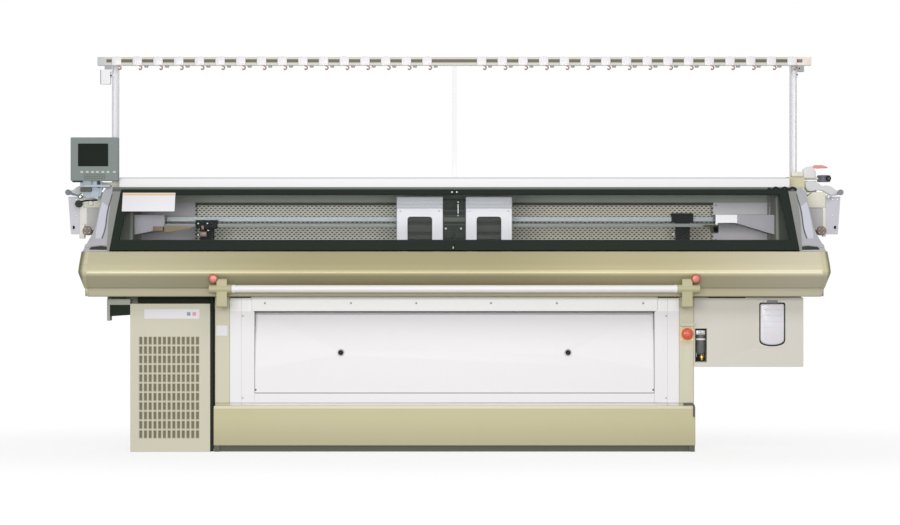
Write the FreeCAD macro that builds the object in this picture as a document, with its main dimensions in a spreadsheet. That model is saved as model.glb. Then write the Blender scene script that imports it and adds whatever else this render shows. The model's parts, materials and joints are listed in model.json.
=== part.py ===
import FreeCAD, Part

import math
import os
import re

import Sketcher

# Flat knitting machine, in millimetres. +X runs along the needle beds, the front faces -Y and +Z is up.
# The origin is on the floor, under the middle of the machine.

V = FreeCAD.Vector
doc = FreeCAD.newDocument("FlatKnittingMachine")

# ---------------------------------------------------------------- driving dimensions

sizes = dict(
    seat_gap=0.3, running_fit=0.05, sheet_metal=4,
    # base and legs
    base_half=1219, base_front=330, base_top=233, base_round=16, base_rail=140, base_end=80,
    plinth_top=32, plinth_inset=24, leg_inner=1136, leg_outer=1212, leg_round=6,
    cross_half=40, cross_place=420,
    # needle beds and the beams under them
    beam_bottom=720, beam_face=250, beam_gap=60, beam_step=190, bed_half=1180,
    crest=1010, bed_gap=5, bed_run=180, bed_thickness=25,
    way_radius=15, way_place=222,
    # end frames
    end_inner=1655, end_outer=1745, end_neck=90, end_shoulder=130, end_shoulder_height=1040,
    end_knee=960,
    # carriage
    cam_half=298, cam_inner=28, cam_top=1062, cam_outer=255, cam_foot=806, cam_shoulder=200,
    cam_rise=85, cam_clearance=1.5, way_clearance=0.5,
    bridge_inner=58, bridge_outer=297, bridge_leg=56, bridge_front=150, bridge_wall=40,
    bridge_top=1298, bridge_seam=1238, bridge_bevel=32, tunnel_top=1225, arch_top=1194, arch_round=16,
    unit_front=135, unit_wall=22, unit_top=1285, unit_tunnel=1230,
    # drive at the back of the beds
    pulley_place=1600, pulley_line=315, pulley_radius=40, pulley_flange=45, belt_bottom=811,
    belt_width=30, belt_thickness=3, flange_thickness=3, shaft_radius=10, shaft_depth=60,
    bracket_half=60, bracket_top=800, bracket_plate=10, bracket_reach=110, motor_half=48, motor_drop=150,
    clamp_half=50, clamp_jaw=8, clamp_top=850,
    # yarn carriers and their rails
    yarn_rail_place=40, yarn_rail_half=6, front_rail_low=1142, front_rail_high=1160,
    rear_rail_low=1172, rear_rail_high=1197, rail_left=1498, rail_right=1350,
    holder_half=62, holder_bottom=1132, holder_top=1206, holder_drop=30, holder_neck=103,
    holder_neck_low=1163,
    carrier_outer=70, carrier_inner=8, carrier_wall=18, carrier_width=112, carrier_offset=60,
    carrier_plate=75, plate_thickness=6, plate_bottom=1072, tip_gap=4, tip_half=4, tip_inner=2.5,
    left_parked=1338, right_parked=1131,
    # take-down
    roller_half=1100, roller_end=930, roller_height=648, roller_radius=30, presser_radius=20,
    nip=0.6, journal_radius=10, journal_length=30, takedown_motor_radius=38,
    # front and rear covers
    cover_half=1839, cover_top=1014, cover_shelf=372, cover_brow=455, cover_brow_height=958,
    cover_nose=480, cover_nose_height=925, cover_chin=448, cover_seam=831, cover_lip=432,
    cover_bottom=787, brow_round=40, cap_width=41, cap_taper=40, cap_taper_start=905,
    rear_cover_knee=380, rear_cover_back=470, rear_cover_bottom=600,
    # fabric chute
    strip_inner=1011, panel_fold=20, sill_top=300, surround_top=779, top_strip_half=1025,
    top_strip_bottom=713, top_strip_thickness=15, strip_round=14,
    chute_gap=1, chute_top=708, chute_bend=420, chute_recess=45,
    knob_place=575, knob_height=503, knob_radius=12.5, knob_length=16, knob_stem=6,
    # control cabinet
    cabinet_outer=1640, cabinet_inner=1236, cabinet_lip=750, cabinet_back=230, cabinet_wall=3,
    louvre_left=1593, louvre_bottom=72, louvre_width=13, louvre_height=36, louvre_pitch=23.9,
    louvre_rise=47.3, louvre_columns=13, louvre_rows=11,
    fan_height=330, fan_radius=90, fan_hub=28, fan_depth=26, fan_place=285, fan_pin=5, fan_bar=36,
    fan_bar_thickness=12, blade_thickness=3, blade_pitch=28, blade_count=7,
    duct_width=118, duct_bottom=663, duct_top=774, duct_mouth=12,
    # oil cabinet
    oil_outer=1765, oil_bottom=431, oil_top=782, oil_back=100, oil_recess=53,
    tank_left=1542, tank_right=1673, tank_bottom=534, tank_top=750, tank_front=338, tank_round=26,
    recess_top=772, recess_margin=2, cap_radius=25, cap_height=17, neck_radius=14, neck_height=9,
    pump_left=1218, pump_right=1277, pump_bottom=454, pump_top=624, bowl_radius=18,
    # controls on the front
    bar_height=827, bar_place=484, bar_radius=18.5, bar_half=1113.5, bar_journal=10, bar_journal_end=1180,
    bracket_inner=1114, bracket_column=1187, bracket_outer=1225, bracket_low=734, bracket_foot_top=786,
    bracket_column_top=877, bracket_back=468, bracket_front=500, boss_radius=21, bracket_round=10,
    stop_place=1203.5, stop_height=878, stop_housing=23, stop_head=18, stop_stem=14, stop_travel=4.5,
    stop_head_thickness=7, stop_depth=15, stop_back=12,
    estop_place=1176, estop_height=598, estop_plate_half=35, estop_plate_low=560, estop_plate_high=638,
    estop_plate_thickness=3, estop_head=29, estop_neck=17, estop_stem=11, estop_travel=5,
    estop_head_thickness=16, estop_neck_length=12, estop_depth=30, guard_high=653, guard_reach=26,
    # windows
    header_low=1310, header_gap=20, window_top=1323, window_hinge=222,
    window_lean=23, window_thickness=18, window_gap=1.5,
    window_top_half=1699, window_bottom_half=1739, window_top_rail=20, window_bottom_rail=54,
    window_stile=43, glass_thickness=5,
    # back panel and shelf
    shelf_bottom=1343, shelf_top=1394, shelf_half=1719, shelf_front=160, shelf_back=512, shelf_wall=3,
    gusset_place=1500, gusset_half=2, gusset_drop=110, gusset_reach=200,
    # guide rail, posts and clamps
    rail_half=1846, guide_low=1978, guide_high=2021, guide_place=40, guide_half=20, groove_low=1993,
    groove_high=2009, groove_depth=6, post_place=1754, post_half=17, post_wall=3, middle_half=11,
    flange_half=30, rail_cap=45,
    hanger_low=1946, hanger_reach=1809, hanger_leg_low=1914, rail_box_left=1831, rail_box_right=1779,
    rail_box_low=1881, rail_box_high=1956, rail_box_round=8,
    foot_outer=1808, foot_top=1372, right_foot_top=1400, foot_reach=30,
    clamp_first=141, clamp_pitch=107, clamp_count=16, clamp_width=51, clamp_front=8, clamp_cap=4,
    clamp_low=1976, hook_half=9, hook_low=1946, hook_thickness=4, hook_slot=5,
    # monitor
    monitor_left=1958, monitor_right=1715, monitor_low=1375, monitor_high=1597, monitor_front=235,
    monitor_back=180, monitor_round=6, screen_left=1917, screen_right=1767, screen_low=1451,
    screen_high=1563, screen_depth=3, arm_left=1890, arm_height=12, pin_radius=10, pin_place=1836,
    pin_line=205, pin_rise=22, skirt_left=1912, skirt_right=1805, skirt_top=1371, skirt_step=1861,
    skirt_step_low=1340, skirt_toe=1820, skirt_low=1278, skirt_thickness=6,
    # side covers
    side_wall=1790, side_waist=1822, side_waist_height=1130, side_flare=1880, side_flare_low=1014,
    side_round=40, side_front=345, side_front_top=215,
    # side yarn units and tension arms
    unit_near=60, unit_far=125, unit_box_low=1239, unit_box_high=1321, unit_box_end=1911,
    unit_block_low=1162, unit_block_near=70, unit_block_far=118, unit_block_end=1876, unit_block_low_end=1840,
    unit_motor_place=1888, unit_motor_height=1122, unit_motor_radius=24, unit_motor_far=138,
    column_end=1930, column_low=1082, column_near=80, column_far=122, column_step=1152, column_slim=1908,
    side_plate_outer=1988, side_plate_low=1103, side_plate_high=1298, side_plate_thickness=12,
    side_plate_line=110,
    side_plate_taper=14, side_hole=9, side_hole_place=1961, side_hole_height=1139,
    pivot_radius=5, pivot_place=1922, pivot_height=1297,
    hood_inner=1873, hood_outer=1985, hood_low=1301, hood_high=1363, hood_nose=1325, hood_heel=1340,
    arm_hub=11, arm_thickness=13, arm_disc=15, arm_reach=63, arm_disc_height=1319, arm_bar=5,
    idler_place=1930, idler_height=1260, idler_radius=18.5, idler_far=150, tube_end=1835, tube_half=4.5,
    tube_rise=20, tube_depth=8,
    wheel_rod=7, wheel_rod_end=1892, wheel_radius=35, wheel_height=36, wheel_low=1374, wheel_line=60,
    feed_left=1800, feed_right=1867, feed_high=1457, feed_half=22, lever_end=1932, lever_rise=5,
    sheet_inner_low=1340, sheet_toe=1830, sheet_toe_low=1305, sheet_heel=1873, sheet_heel_low=1322,
    sheet_high=1381,
    # bent rod at the foot of the right leg
    rod_radius=5, rod_left=1157, rod_right=1211, rod_height=243, rod_drop=65,
)

sheet = doc.addObject("Spreadsheet::Sheet", "Sizes")
for row, (name, size) in enumerate(sizes.items(), start=1):
    sheet.set(f"A{row}", name)
    sheet.set(f"B{row}", str(size))
    sheet.setAlias(f"B{row}", name)
doc.recompute()

# ---------------------------------------------------------------- ways of making a piece

FULL_TURN = 360
PLANES = {"x": "YZ_Plane", "y": "XZ_Plane", "z": "XY_Plane"}
ALONG = {"x": V(1, 0, 0), "y": V(0, 1, 0), "z": V(0, 0, 1)}
TURNS = {"x": FreeCAD.Rotation(V(0, 1, 0), 90), "y": FreeCAD.Rotation(V(1, 0, 0), -90), "z": FreeCAD.Rotation()}
nodes = []


def cells(formula):
    """The formula with each size's name turned into its cell in the sheet."""
    def cell(word):
        return "Sizes." + word[0] if word[0] in sizes else word[0]
    return re.sub(r"[a-z_]+", cell, formula)


def value(formula):
    return float(sheet.evalExpression(cells(formula)))


def bind(thing, prop, formula):
    thing.setExpression(prop, cells(formula))


def new_body(label):
    body = doc.addObject("PartDesign::Body", label)
    body.Label = label
    body.AllowCompound = True
    return body


def place_sketch(body, axis, low, high):
    """A sketch square to an axis, at the end of the span that its feature grows from."""
    sketch = body.newObject("Sketcher::SketchObject", "Outline")
    plane = [part for part in body.Origin.OriginFeatures if part.Role == PLANES[axis]][0]
    sketch.AttachmentSupport = [(plane, "")]
    sketch.MapMode = "FlatFace"
    bind(sketch, ".AttachmentOffset.Base.z", f"-({high})" if axis == "y" else low)
    return sketch


def draw_polygon(sketch, corners):
    """Straight lines through the corners, each corner held by two formulas."""
    count = len(corners)
    first = sketch.GeometryCount
    spots = [V(value(across), value(up), 0) for across, up in corners]
    for index in range(count):
        sketch.addGeometry(Part.LineSegment(spots[index], spots[(index + 1) % count]), False)
    for index in range(count):
        line, following = first + index, first + (index + 1) % count
        sketch.addConstraint(Sketcher.Constraint("Coincident", line, 2, following, 1))
    for index, (across, up) in enumerate(corners):
        for kind, formula, place in (("DistanceX", across, spots[index].x), ("DistanceY", up, spots[index].y)):
            held = sketch.addConstraint(Sketcher.Constraint(kind, -1, 1, first + index, 1, place))
            bind(sketch, f"Constraints[{held}]", formula)


def draw_circle(sketch, across, up, radius):
    centre = V(value(across), value(up), 0)
    ring = sketch.addGeometry(Part.Circle(centre, V(0, 0, 1), value(radius)), False)
    for kind, formula, place in (("DistanceX", across, centre.x), ("DistanceY", up, centre.y)):
        held = sketch.addConstraint(Sketcher.Constraint(kind, -1, 1, ring, 3, place))
        bind(sketch, f"Constraints[{held}]", formula)
    held = sketch.addConstraint(Sketcher.Constraint("Radius", ring, value(radius)))
    bind(sketch, f"Constraints[{held}]", radius)


def draw(sketch, shape):
    if isinstance(shape, list):
        draw_polygon(sketch, shape)
    else:
        draw_circle(sketch, *shape)


def box_outline(low_across, high_across, low_up, high_up):
    return [(low_across, low_up), (high_across, low_up), (high_across, high_up), (low_across, high_up)]


def feature(body, kind, axis, low, high, shapes):
    sketch = place_sketch(body, axis, low, high)
    for shape in shapes:
        draw(sketch, shape)
    made = body.newObject(kind, kind.split("::")[1])
    made.Profile = sketch
    bind(made, "Length", f"({high}) - ({low})")
    return made


def pad(body, axis, low, high, *shapes):
    """Material along an axis from low to high, with the section given by polygons and circles."""
    made = feature(body, "PartDesign::Pad", axis, low, high, shapes)
    doc.recompute()
    return made


def cut(body, axis, low, high, *shapes):
    """The same span taken away. It has to remove something."""
    before = body.Shape.Volume
    made = feature(body, "PartDesign::Pocket", axis, low, high, shapes)
    made.Reversed = True
    doc.recompute()
    if body.Shape.Volume >= before:
        raise ValueError(f"{body.Label}: a cut along {axis} removes nothing")
    return made


def round_edges(body, axis, radius, *places):
    """Rounds the straight edges that run along an axis through the given places."""
    base = body.Tip
    others = [other for other in "xyz" if other != axis]
    wanted = [(value(across), value(up)) for across, up in places]
    names = []
    for number, edge in enumerate(base.Shape.Edges, start=1):
        if edge.Curve.TypeId != "Part::GeomLine":
            continue
        if abs(edge.tangentAt(edge.FirstParameter).dot(ALONG[axis])) < 0.999:
            continue
        middle = edge.CenterOfMass
        spot = [getattr(middle, other) for other in others]
        if any(math.hypot(spot[0] - across, spot[1] - up) < 0.05 for across, up in wanted):
            names.append(f"Edge{number}")
    if not names:
        raise ValueError(f"{body.Label}: no edge to round")
    made = body.newObject("PartDesign::Fillet", "Rounding")
    made.Base = (base, names)
    bind(made, "Radius", radius)
    doc.recompute()
    return made


def turned(body, profile):
    """A solid of revolution about its own Z axis, from (radius, height) corners."""
    sketch = place_sketch(body, "y", "0", "0")
    draw(sketch, profile)
    made = body.newObject("PartDesign::Revolution", "Revolution")
    made.Profile = sketch
    made.ReferenceAxis = (sketch, ["V_Axis"])
    made.Angle = FULL_TURN
    doc.recompute()
    return made


def set_place(thing, axis, x, y, z):
    """Turns a piece's own Z axis to an axis of the machine and moves its origin."""
    thing.Placement = FreeCAD.Placement(V(0, 0, 0), TURNS[axis])
    for letter, formula in (("x", x), ("y", y), ("z", z)):
        bind(thing, f".Placement.Base.{letter}", formula)


def keep(thing):
    nodes.append(thing)
    return thing


def twin(label, body, normal):
    """A piece and its mirror image on the other side of the machine."""
    image = doc.addObject("Part::Mirroring", label + "_image")
    image.Source = body
    image.Normal = normal
    pair = doc.addObject("Part::Compound", label)
    pair.Label = label
    pair.Links = [body, image]
    return keep(pair)


def mirror_of(label, body, normal=V(1, 0, 0)):
    image = doc.addObject("Part::Mirroring", label)
    image.Label = label
    image.Source = body
    image.Normal = normal
    return keep(image)


ACROSS = V(1, 0, 0)
FORE_AND_AFT = V(0, 1, 0)

# heights on the sloping needle bed, worked out from a distance y from the middle plane
BED_LINE = "crest + bed_gap"
BED_DROP = "bed_thickness * 1.41421356"

# ---------------------------------------------------------------- base and legs


def make_base():
    body = new_body("base_frame")
    pad(body, "z", "plinth_top", "base_top",
        box_outline("-base_half", "base_half", "-base_front", "base_front"))
    gap_edge = "base_front - base_rail"
    inner = "base_half - base_end"
    middle = "cross_place - cross_half"
    bays = [("-(" + inner + ")", "-cross_place - cross_half"), ("-" + f"({middle})", middle),
            ("cross_place + cross_half", inner)]
    cut(body, "z", "plinth_top", "base_top",
        *[box_outline(left, right, f"-({gap_edge})", gap_edge) for left, right in bays])
    round_edges(body, "x", "base_round", ("-base_front", "base_top"), ("base_front", "base_top"))
    keep(body)

    plinth = new_body("plinth")
    side = "base_half - plinth_inset"
    front = "base_front - plinth_inset"
    pad(plinth, "z", "0", "plinth_top", box_outline(f"-({side})", side, f"-({front})", front))
    cut(plinth, "z", "0", "plinth_top",
        *[box_outline(left, right, f"-({gap_edge})", gap_edge) for left, right in bays])
    keep(plinth)


def make_legs():
    body = new_body("right_leg")
    outline = [("-base_front + base_round", "base_top"), ("beam_face", "base_top"),
               ("beam_face", "beam_bottom"),
               ("-beam_face", "beam_bottom"), ("-beam_face", "cover_bottom"), ("-base_front", "cover_bottom"),
               ("-base_front", "base_top + base_round"), ("-base_front + base_round", "base_top + base_round")]
    pad(body, "x", "leg_inner", "leg_outer", outline)
    round_edges(body, "z", "leg_round", ("leg_outer", "-base_front"), ("leg_inner", "-base_front"))
    journal = "journal_radius + running_fit"
    depth = "leg_inner + journal_length + 1"
    front_roller = ("-presser_radius - nip / 2", "roller_height", journal)
    rear_roller = ("roller_radius + nip / 2", "roller_height", journal)
    cut(body, "x", "leg_inner", depth, front_roller, rear_roller)
    cut(body, "y", "-base_front", "-base_front + estop_depth",
        ("estop_place", "estop_height", "estop_stem + seat_gap"))
    left = new_body("left_leg")
    pad(left, "x", "-leg_outer", "-leg_inner", outline)
    round_edges(left, "z", "leg_round", ("-leg_outer", "-base_front"), ("-leg_inner", "-base_front"))
    cut(left, "x", "-(" + depth + ")", "-leg_inner", front_roller, rear_roller)
    pair = doc.addObject("Part::Compound", "side_legs")
    pair.Links = [left, body]
    keep(pair)


# ---------------------------------------------------------------- beds and beams


def make_beds():
    beam = new_body("front_bed_beam")
    pad(beam, "x", "-end_inner", "end_inner",
        [("-beam_face", "beam_bottom"), ("-beam_gap", "beam_bottom"),
         ("-beam_gap", f"{BED_LINE} - beam_gap - {BED_DROP}"),
         ("-beam_step", f"{BED_LINE} - beam_step - {BED_DROP}"),
         ("-beam_face", f"{BED_LINE} - beam_step - {BED_DROP}")])
    twin("bed_beams", beam, FORE_AND_AFT)

    bed = new_body("front_needle_bed")
    pad(bed, "x", "-bed_half", "bed_half",
        [("-bed_gap", "crest"), ("-bed_gap - bed_run", "crest - bed_run"),
         ("-bed_gap - bed_run + bed_thickness * 0.70710678", "crest - bed_run - bed_thickness * 0.70710678"),
         ("-bed_gap", f"crest - {BED_DROP}")])
    twin("needle_beds", bed, FORE_AND_AFT)

    way = new_body("front_way")
    turned(way, box_outline("0", "way_radius", "-end_inner", "end_inner"))
    height = f"{BED_LINE} - beam_step - {BED_DROP} + way_radius + way_clearance / 5"
    set_place(way, "x", "0", "-way_place", height)
    twin("carriage_rails", way, FORE_AND_AFT)


def make_end_frames():
    body = new_body("right_end_frame")
    pad(body, "x", "end_inner", "end_outer",
        [("-beam_face", "beam_bottom"), ("beam_face", "beam_bottom"), ("beam_face", "end_knee"),
         ("end_shoulder", "end_shoulder_height"), ("end_neck", "shelf_bottom"), ("-end_neck", "shelf_bottom"),
         ("-end_shoulder", "end_shoulder_height"), ("-beam_face", "end_knee")])
    twin("end_frames", body, ACROSS)


# ---------------------------------------------------------------- carriage


def make_carriage():
    box = new_body("front_cam_box")
    line = f"{BED_LINE} + cam_rise"
    pad(box, "x", "-cam_half", "cam_half",
        [("-cam_inner", f"{BED_LINE} - cam_inner + cam_clearance"), ("-cam_inner", "cam_top"),
         (f"cam_top - ({line})", "cam_top"), ("-cam_shoulder", f"{line} - cam_shoulder"),
         ("-cam_outer", f"{line} - cam_shoulder"), ("-cam_outer", "cam_foot"), ("-cam_shoulder", "cam_foot"),
         ("-cam_shoulder", f"{BED_LINE} - cam_shoulder + cam_clearance")])
    cut(box, "x", "-cam_half", "cam_half",
        ("-way_place", f"{BED_LINE} - beam_step - {BED_DROP} + way_radius + way_clearance / 5",
         "way_radius + way_clearance"))
    twin("cam_boxes", box, FORE_AND_AFT)

    foot = f"{line} - bridge_front"
    for label, near, far in (("left_bridge_cover", "-bridge_outer", "-bridge_inner"),
                             ("right_bridge_cover", "bridge_inner", "bridge_outer")):
        body = new_body(label)
        inner = "bridge_front - bridge_wall"
        pad(body, "x", near, far,
            [("-bridge_front", foot), ("-bridge_front", "bridge_seam"),
             ("-bridge_front + bridge_bevel * 0.2", "bridge_seam + bridge_bevel * 0.6"),
             ("-bridge_front + bridge_bevel * 0.8", "bridge_top - bridge_bevel * 0.6"),
             ("-bridge_front + bridge_bevel", "bridge_top"), ("bridge_front - bridge_bevel", "bridge_top"),
             ("bridge_front - bridge_bevel * 0.8", "bridge_top - bridge_bevel * 0.6"),
             ("bridge_front - bridge_bevel * 0.2", "bridge_seam + bridge_bevel * 0.6"),
             ("bridge_front", "bridge_seam"), ("bridge_front", foot), (inner, f"{foot} + bridge_wall"),
             (inner, "tunnel_top"), (f"-({inner})", "tunnel_top"), (f"-({inner})", f"{foot} + bridge_wall")])
        left, right = f"{near} + bridge_leg", f"{far} - bridge_leg"
        cut(body, "y", "-bridge_front", "bridge_front", box_outline(left, right, foot, "arch_top"))
        round_edges(body, "y", "arch_round", (left, "arch_top"), (right, "arch_top"))
        keep(body)

    unit = new_body("carriage_centre_unit")
    inner = "unit_front - unit_wall"
    low = f"{line} - unit_front"
    pad(unit, "x", "-bridge_inner", "bridge_inner",
        [("-unit_front", low), ("-unit_front", "unit_top"), ("unit_front", "unit_top"), ("unit_front", low),
         (inner, f"{low} + unit_wall"), (inner, "unit_tunnel"), (f"-({inner})", "unit_tunnel"),
         (f"-({inner})", f"{low} + unit_wall")])
    round_edges(unit, "x", "unit_wall / 2", ("-unit_front", "unit_top"), ("unit_front", "unit_top"))
    keep(unit)

    clamp = new_body("belt_clamp")
    run = "pulley_line - pulley_radius - seat_gap"
    pad(clamp, "x", "-clamp_half", "clamp_half",
        [("cam_outer", "belt_bottom"), (f"{run} - belt_thickness - seat_gap", "belt_bottom"),
         (f"{run} - belt_thickness - seat_gap", "belt_bottom + belt_width + seat_gap"),
         (f"{run} + seat_gap", "belt_bottom + belt_width + seat_gap"), (f"{run} + seat_gap", "belt_bottom"),
         (f"{run} + seat_gap + clamp_jaw", "belt_bottom"), (f"{run} + seat_gap + clamp_jaw", "clamp_top"),
         ("cam_outer", "clamp_top")])
    keep(clamp)


# ---------------------------------------------------------------- belt drive


def make_drive():
    inner = "pulley_radius + seat_gap"
    outer = "pulley_radius + seat_gap + belt_thickness"
    top = "belt_bottom + belt_width"
    ends = "-pulley_place", "pulley_place"
    belt = new_body("drive_belt")
    for shape in (box_outline(*ends, f"pulley_line - ({outer})", f"pulley_line + {outer}"),
                  ("-pulley_place", "pulley_line", outer), ("pulley_place", "pulley_line", outer)):
        pad(belt, "z", "belt_bottom", top, shape)
    for shape in (box_outline(*ends, f"pulley_line - ({inner})", f"pulley_line + {inner}"),
                  ("-pulley_place", "pulley_line", inner), ("pulley_place", "pulley_line", inner)):
        cut(belt, "z", "belt_bottom", top, shape)
    keep(belt)

    bracket = new_body("right_belt_bracket")
    pad(bracket, "x", "pulley_place - bracket_half", "pulley_place + bracket_half",
        [("beam_face", "beam_bottom"), ("beam_face + bracket_plate", "beam_bottom"),
         ("beam_face + bracket_plate", "bracket_top - bracket_plate"),
         ("beam_face + bracket_reach", "bracket_top - bracket_plate"),
         ("beam_face + bracket_reach", "bracket_top"), ("beam_face", "bracket_top")])
    cut(bracket, "z", "bracket_top - bracket_plate", "bracket_top",
        ("pulley_place", "pulley_line", "shaft_radius + running_fit"))
    twin("belt_brackets", bracket, ACROSS)

    # the flanges close the belt in with a small gap, and the shaft turns in the bracket and the motor
    low = "belt_bottom - flange_thickness - seat_gap"
    high = "belt_bottom + belt_width + seat_gap + flange_thickness"
    for label, side, reach in (("idler_pulley", "-pulley_place", "bracket_top - bracket_plate"),
                               ("drive_pulley", "pulley_place", "bracket_top - bracket_plate - shaft_depth")):
        pulley = new_body(label)
        turned(pulley, [("0", reach), ("shaft_radius", reach), ("shaft_radius", low), ("pulley_flange", low),
                        ("pulley_flange", "belt_bottom - seat_gap"),
                        ("pulley_radius", "belt_bottom - seat_gap"),
                        ("pulley_radius", "belt_bottom + belt_width + seat_gap"),
                        ("pulley_flange", "belt_bottom + belt_width + seat_gap"), ("pulley_flange", high),
                        ("0", high)])
        set_place(pulley, "z", side, "pulley_line", "0")
        keep(pulley)

    motor = new_body("drive_motor")
    low = "bracket_top - bracket_plate - motor_drop"
    pad(motor, "z", low, "bracket_top - bracket_plate",
        box_outline("pulley_place - motor_half", "pulley_place + motor_half",
                    "pulley_line - motor_half", "pulley_line + motor_half"))
    round_edges(motor, "z", "bracket_plate", *[(f"pulley_place {a} motor_half", f"pulley_line {b} motor_half")
                                               for a in "+-" for b in "+-"])
    cut(motor, "z", "bracket_top - bracket_plate - shaft_depth - 1", "bracket_top - bracket_plate",
        ("pulley_place", "pulley_line", "shaft_radius + running_fit"))
    keep(motor)


# ---------------------------------------------------------------- yarn carriers


def make_yarn_rails():
    rail = new_body("front_yarn_rail")
    pad(rail, "x", "-rail_left", "rail_right",
        box_outline("-yarn_rail_place - yarn_rail_half", "-yarn_rail_place + yarn_rail_half",
                    "front_rail_low", "front_rail_high"))
    other = new_body("rear_yarn_rail")
    pad(other, "x", "-rail_left", "rail_right",
        box_outline("yarn_rail_place - yarn_rail_half", "yarn_rail_place + yarn_rail_half",
                    "rear_rail_low", "rear_rail_high"))
    left = new_body("left_rail_holder")
    pad(left, "y", "-holder_half", "holder_half",
        [("-end_inner", "holder_bottom - holder_drop"), ("-rail_left", "holder_bottom"),
         ("-rail_left", "holder_top"),
         ("-end_inner", "holder_top")])
    right = new_body("right_rail_holder")
    pad(right, "y", "-holder_half", "holder_half",
        [("rail_right", "holder_bottom"), ("rail_right + sheet_metal * 3", "holder_bottom"),
         ("rail_right + sheet_metal * 3", "holder_neck_low"), ("rail_right + holder_neck", "holder_neck_low"),
         ("end_inner", "holder_bottom - holder_drop"), ("end_inner", "holder_top"),
         ("rail_right", "holder_top")])
    pair = doc.addObject("Part::Compound", "yarn_rails")
    pair.Links = [rail, other, left, right]
    keep(pair)


def make_carrier(label, start, side, low, high):
    """A block that runs round its rail, a plate that hangs from it and a feeder tip over the bed gap."""
    body = new_body(label)
    back, front = ("-carrier_outer", "-carrier_inner") if side < 0 else ("carrier_inner", "carrier_outer")
    end = f"{start} + carrier_width"
    pad(body, "x", start, end, box_outline(back, front, f"{low} - carrier_wall / 3", f"{high} + carrier_wall"))
    middle = "-yarn_rail_place" if side < 0 else "yarn_rail_place"
    cut(body, "x", start, end,
        box_outline(f"{middle} - yarn_rail_half - seat_gap", f"{middle} + yarn_rail_half + seat_gap",
                    f"{low} - seat_gap", f"{high} + seat_gap"))
    near, far = ("-carrier_inner - plate_thickness", "-carrier_inner") if side < 0 \
        else ("carrier_inner", "carrier_inner + plate_thickness")
    left = f"{start} + carrier_width - carrier_offset + tip_half - carrier_plate / 2"
    right = f"{left} + carrier_plate"
    centre = f"{start} + carrier_width - carrier_offset + tip_half"
    pad(body, "y", near, far,
        [(left, f"{low} - carrier_wall / 3 + 1"), (right, f"{low} - carrier_wall / 3 + 1"),
         (right, "plate_bottom"),
         (f"{centre} + tip_half * 2", "crest + tip_gap + carrier_wall"),
         (f"{centre} - tip_half * 2", "crest + tip_gap + carrier_wall"), (left, "plate_bottom")])
    tip_near, tip_far = ("-carrier_inner - tip_half", "-tip_inner") if side < 0 \
        else ("tip_inner", "carrier_inner + tip_half")
    pad(body, "y", tip_near, tip_far,
        [(f"{centre} - tip_half", "crest + tip_gap"), (f"{centre} + tip_half", "crest + tip_gap"),
         (f"{centre} + tip_half * 1.6", "crest + tip_gap + carrier_wall * 1.4"),
         (f"{centre} - tip_half * 1.6", "crest + tip_gap + carrier_wall * 1.4")])
    keep(body)


# ---------------------------------------------------------------- take-down under the beds


def make_takedown():
    for label, across, radius, right_end in (
            ("takedown_roller", "roller_radius + nip / 2", "roller_radius", "roller_end"),
            ("pressure_roller", "-presser_radius - nip / 2", "presser_radius", "roller_end")):
        body = new_body(label)
        journal_end = "leg_inner + journal_length"
        stub = journal_end
        if radius == "roller_radius":
            stub = f"{right_end} + leg_inner - roller_half + journal_length"
        turned(body, [("0", f"-({journal_end})"), ("journal_radius", f"-({journal_end})"),
                      ("journal_radius", "-roller_half"), (radius, "-roller_half"), (radius, right_end),
                      ("journal_radius", right_end), ("journal_radius", stub), ("0", stub)])
        set_place(body, "x", "0", across, "roller_height")
        keep(body)
    motor = new_body("takedown_motor")
    near, far = "roller_end + seat_gap * 10", "leg_inner"
    bore = "roller_end + leg_inner - roller_half + journal_length + 1"
    turned(motor, [("journal_radius + running_fit", near), ("takedown_motor_radius", near),
                   ("takedown_motor_radius", far), ("0", far), ("0", bore),
                   ("journal_radius + running_fit", bore)])
    set_place(motor, "x", "0", "roller_radius + nip / 2", "roller_height")
    keep(motor)


# ---------------------------------------------------------------- covers


def make_front_cover():
    body = new_body("front_beam_cover")
    skin = "sheet_metal"
    outer = [("-beam_face", "cover_top"), ("-cover_shelf", "cover_top"), ("-cover_brow", "cover_brow_height"),
             ("-cover_nose", "cover_nose_height"), ("-cover_chin", "cover_seam"), ("-cover_lip", "cover_seam"),
             ("-cover_lip", "cover_bottom"), ("-beam_face", "cover_bottom")]
    inner = [("-beam_face", f"cover_top - {skin}"), (f"-cover_shelf + {skin} * 0.3", f"cover_top - {skin}"),
             (f"-cover_brow + {skin}", f"cover_brow_height - {skin}"),
             (f"-cover_nose + {skin} * 1.2", "cover_nose_height"),
             (f"-cover_chin + {skin}", f"cover_seam + {skin} * 0.5"),
             (f"-cover_lip + {skin}", f"cover_seam + {skin} * 0.5"),
             (f"-cover_lip + {skin}", f"cover_bottom + {skin}"), ("-beam_face", f"cover_bottom + {skin}")]
    pad(body, "x", "-cover_half", "cover_half", outer)
    cut(body, "x", "-cover_half", "cover_half", inner)
    round_edges(body, "x", "brow_round", ("-cover_brow", "cover_brow_height"))
    keep(body)

    cap = new_body("right_end_cap")
    pad(cap, "x", "cover_half", "cover_half + cap_width", outer)
    round_edges(cap, "x", "brow_round", ("-cover_brow", "cover_brow_height"))
    cut(cap, "y", "-cover_nose", "-beam_face",
        [("cover_half + cap_width", "cap_taper_start"), ("cover_half + cap_width", "cover_bottom"),
         ("cover_half + cap_width - cap_taper", "cover_bottom")])
    twin("beam_end_caps", cap, ACROSS)


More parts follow.
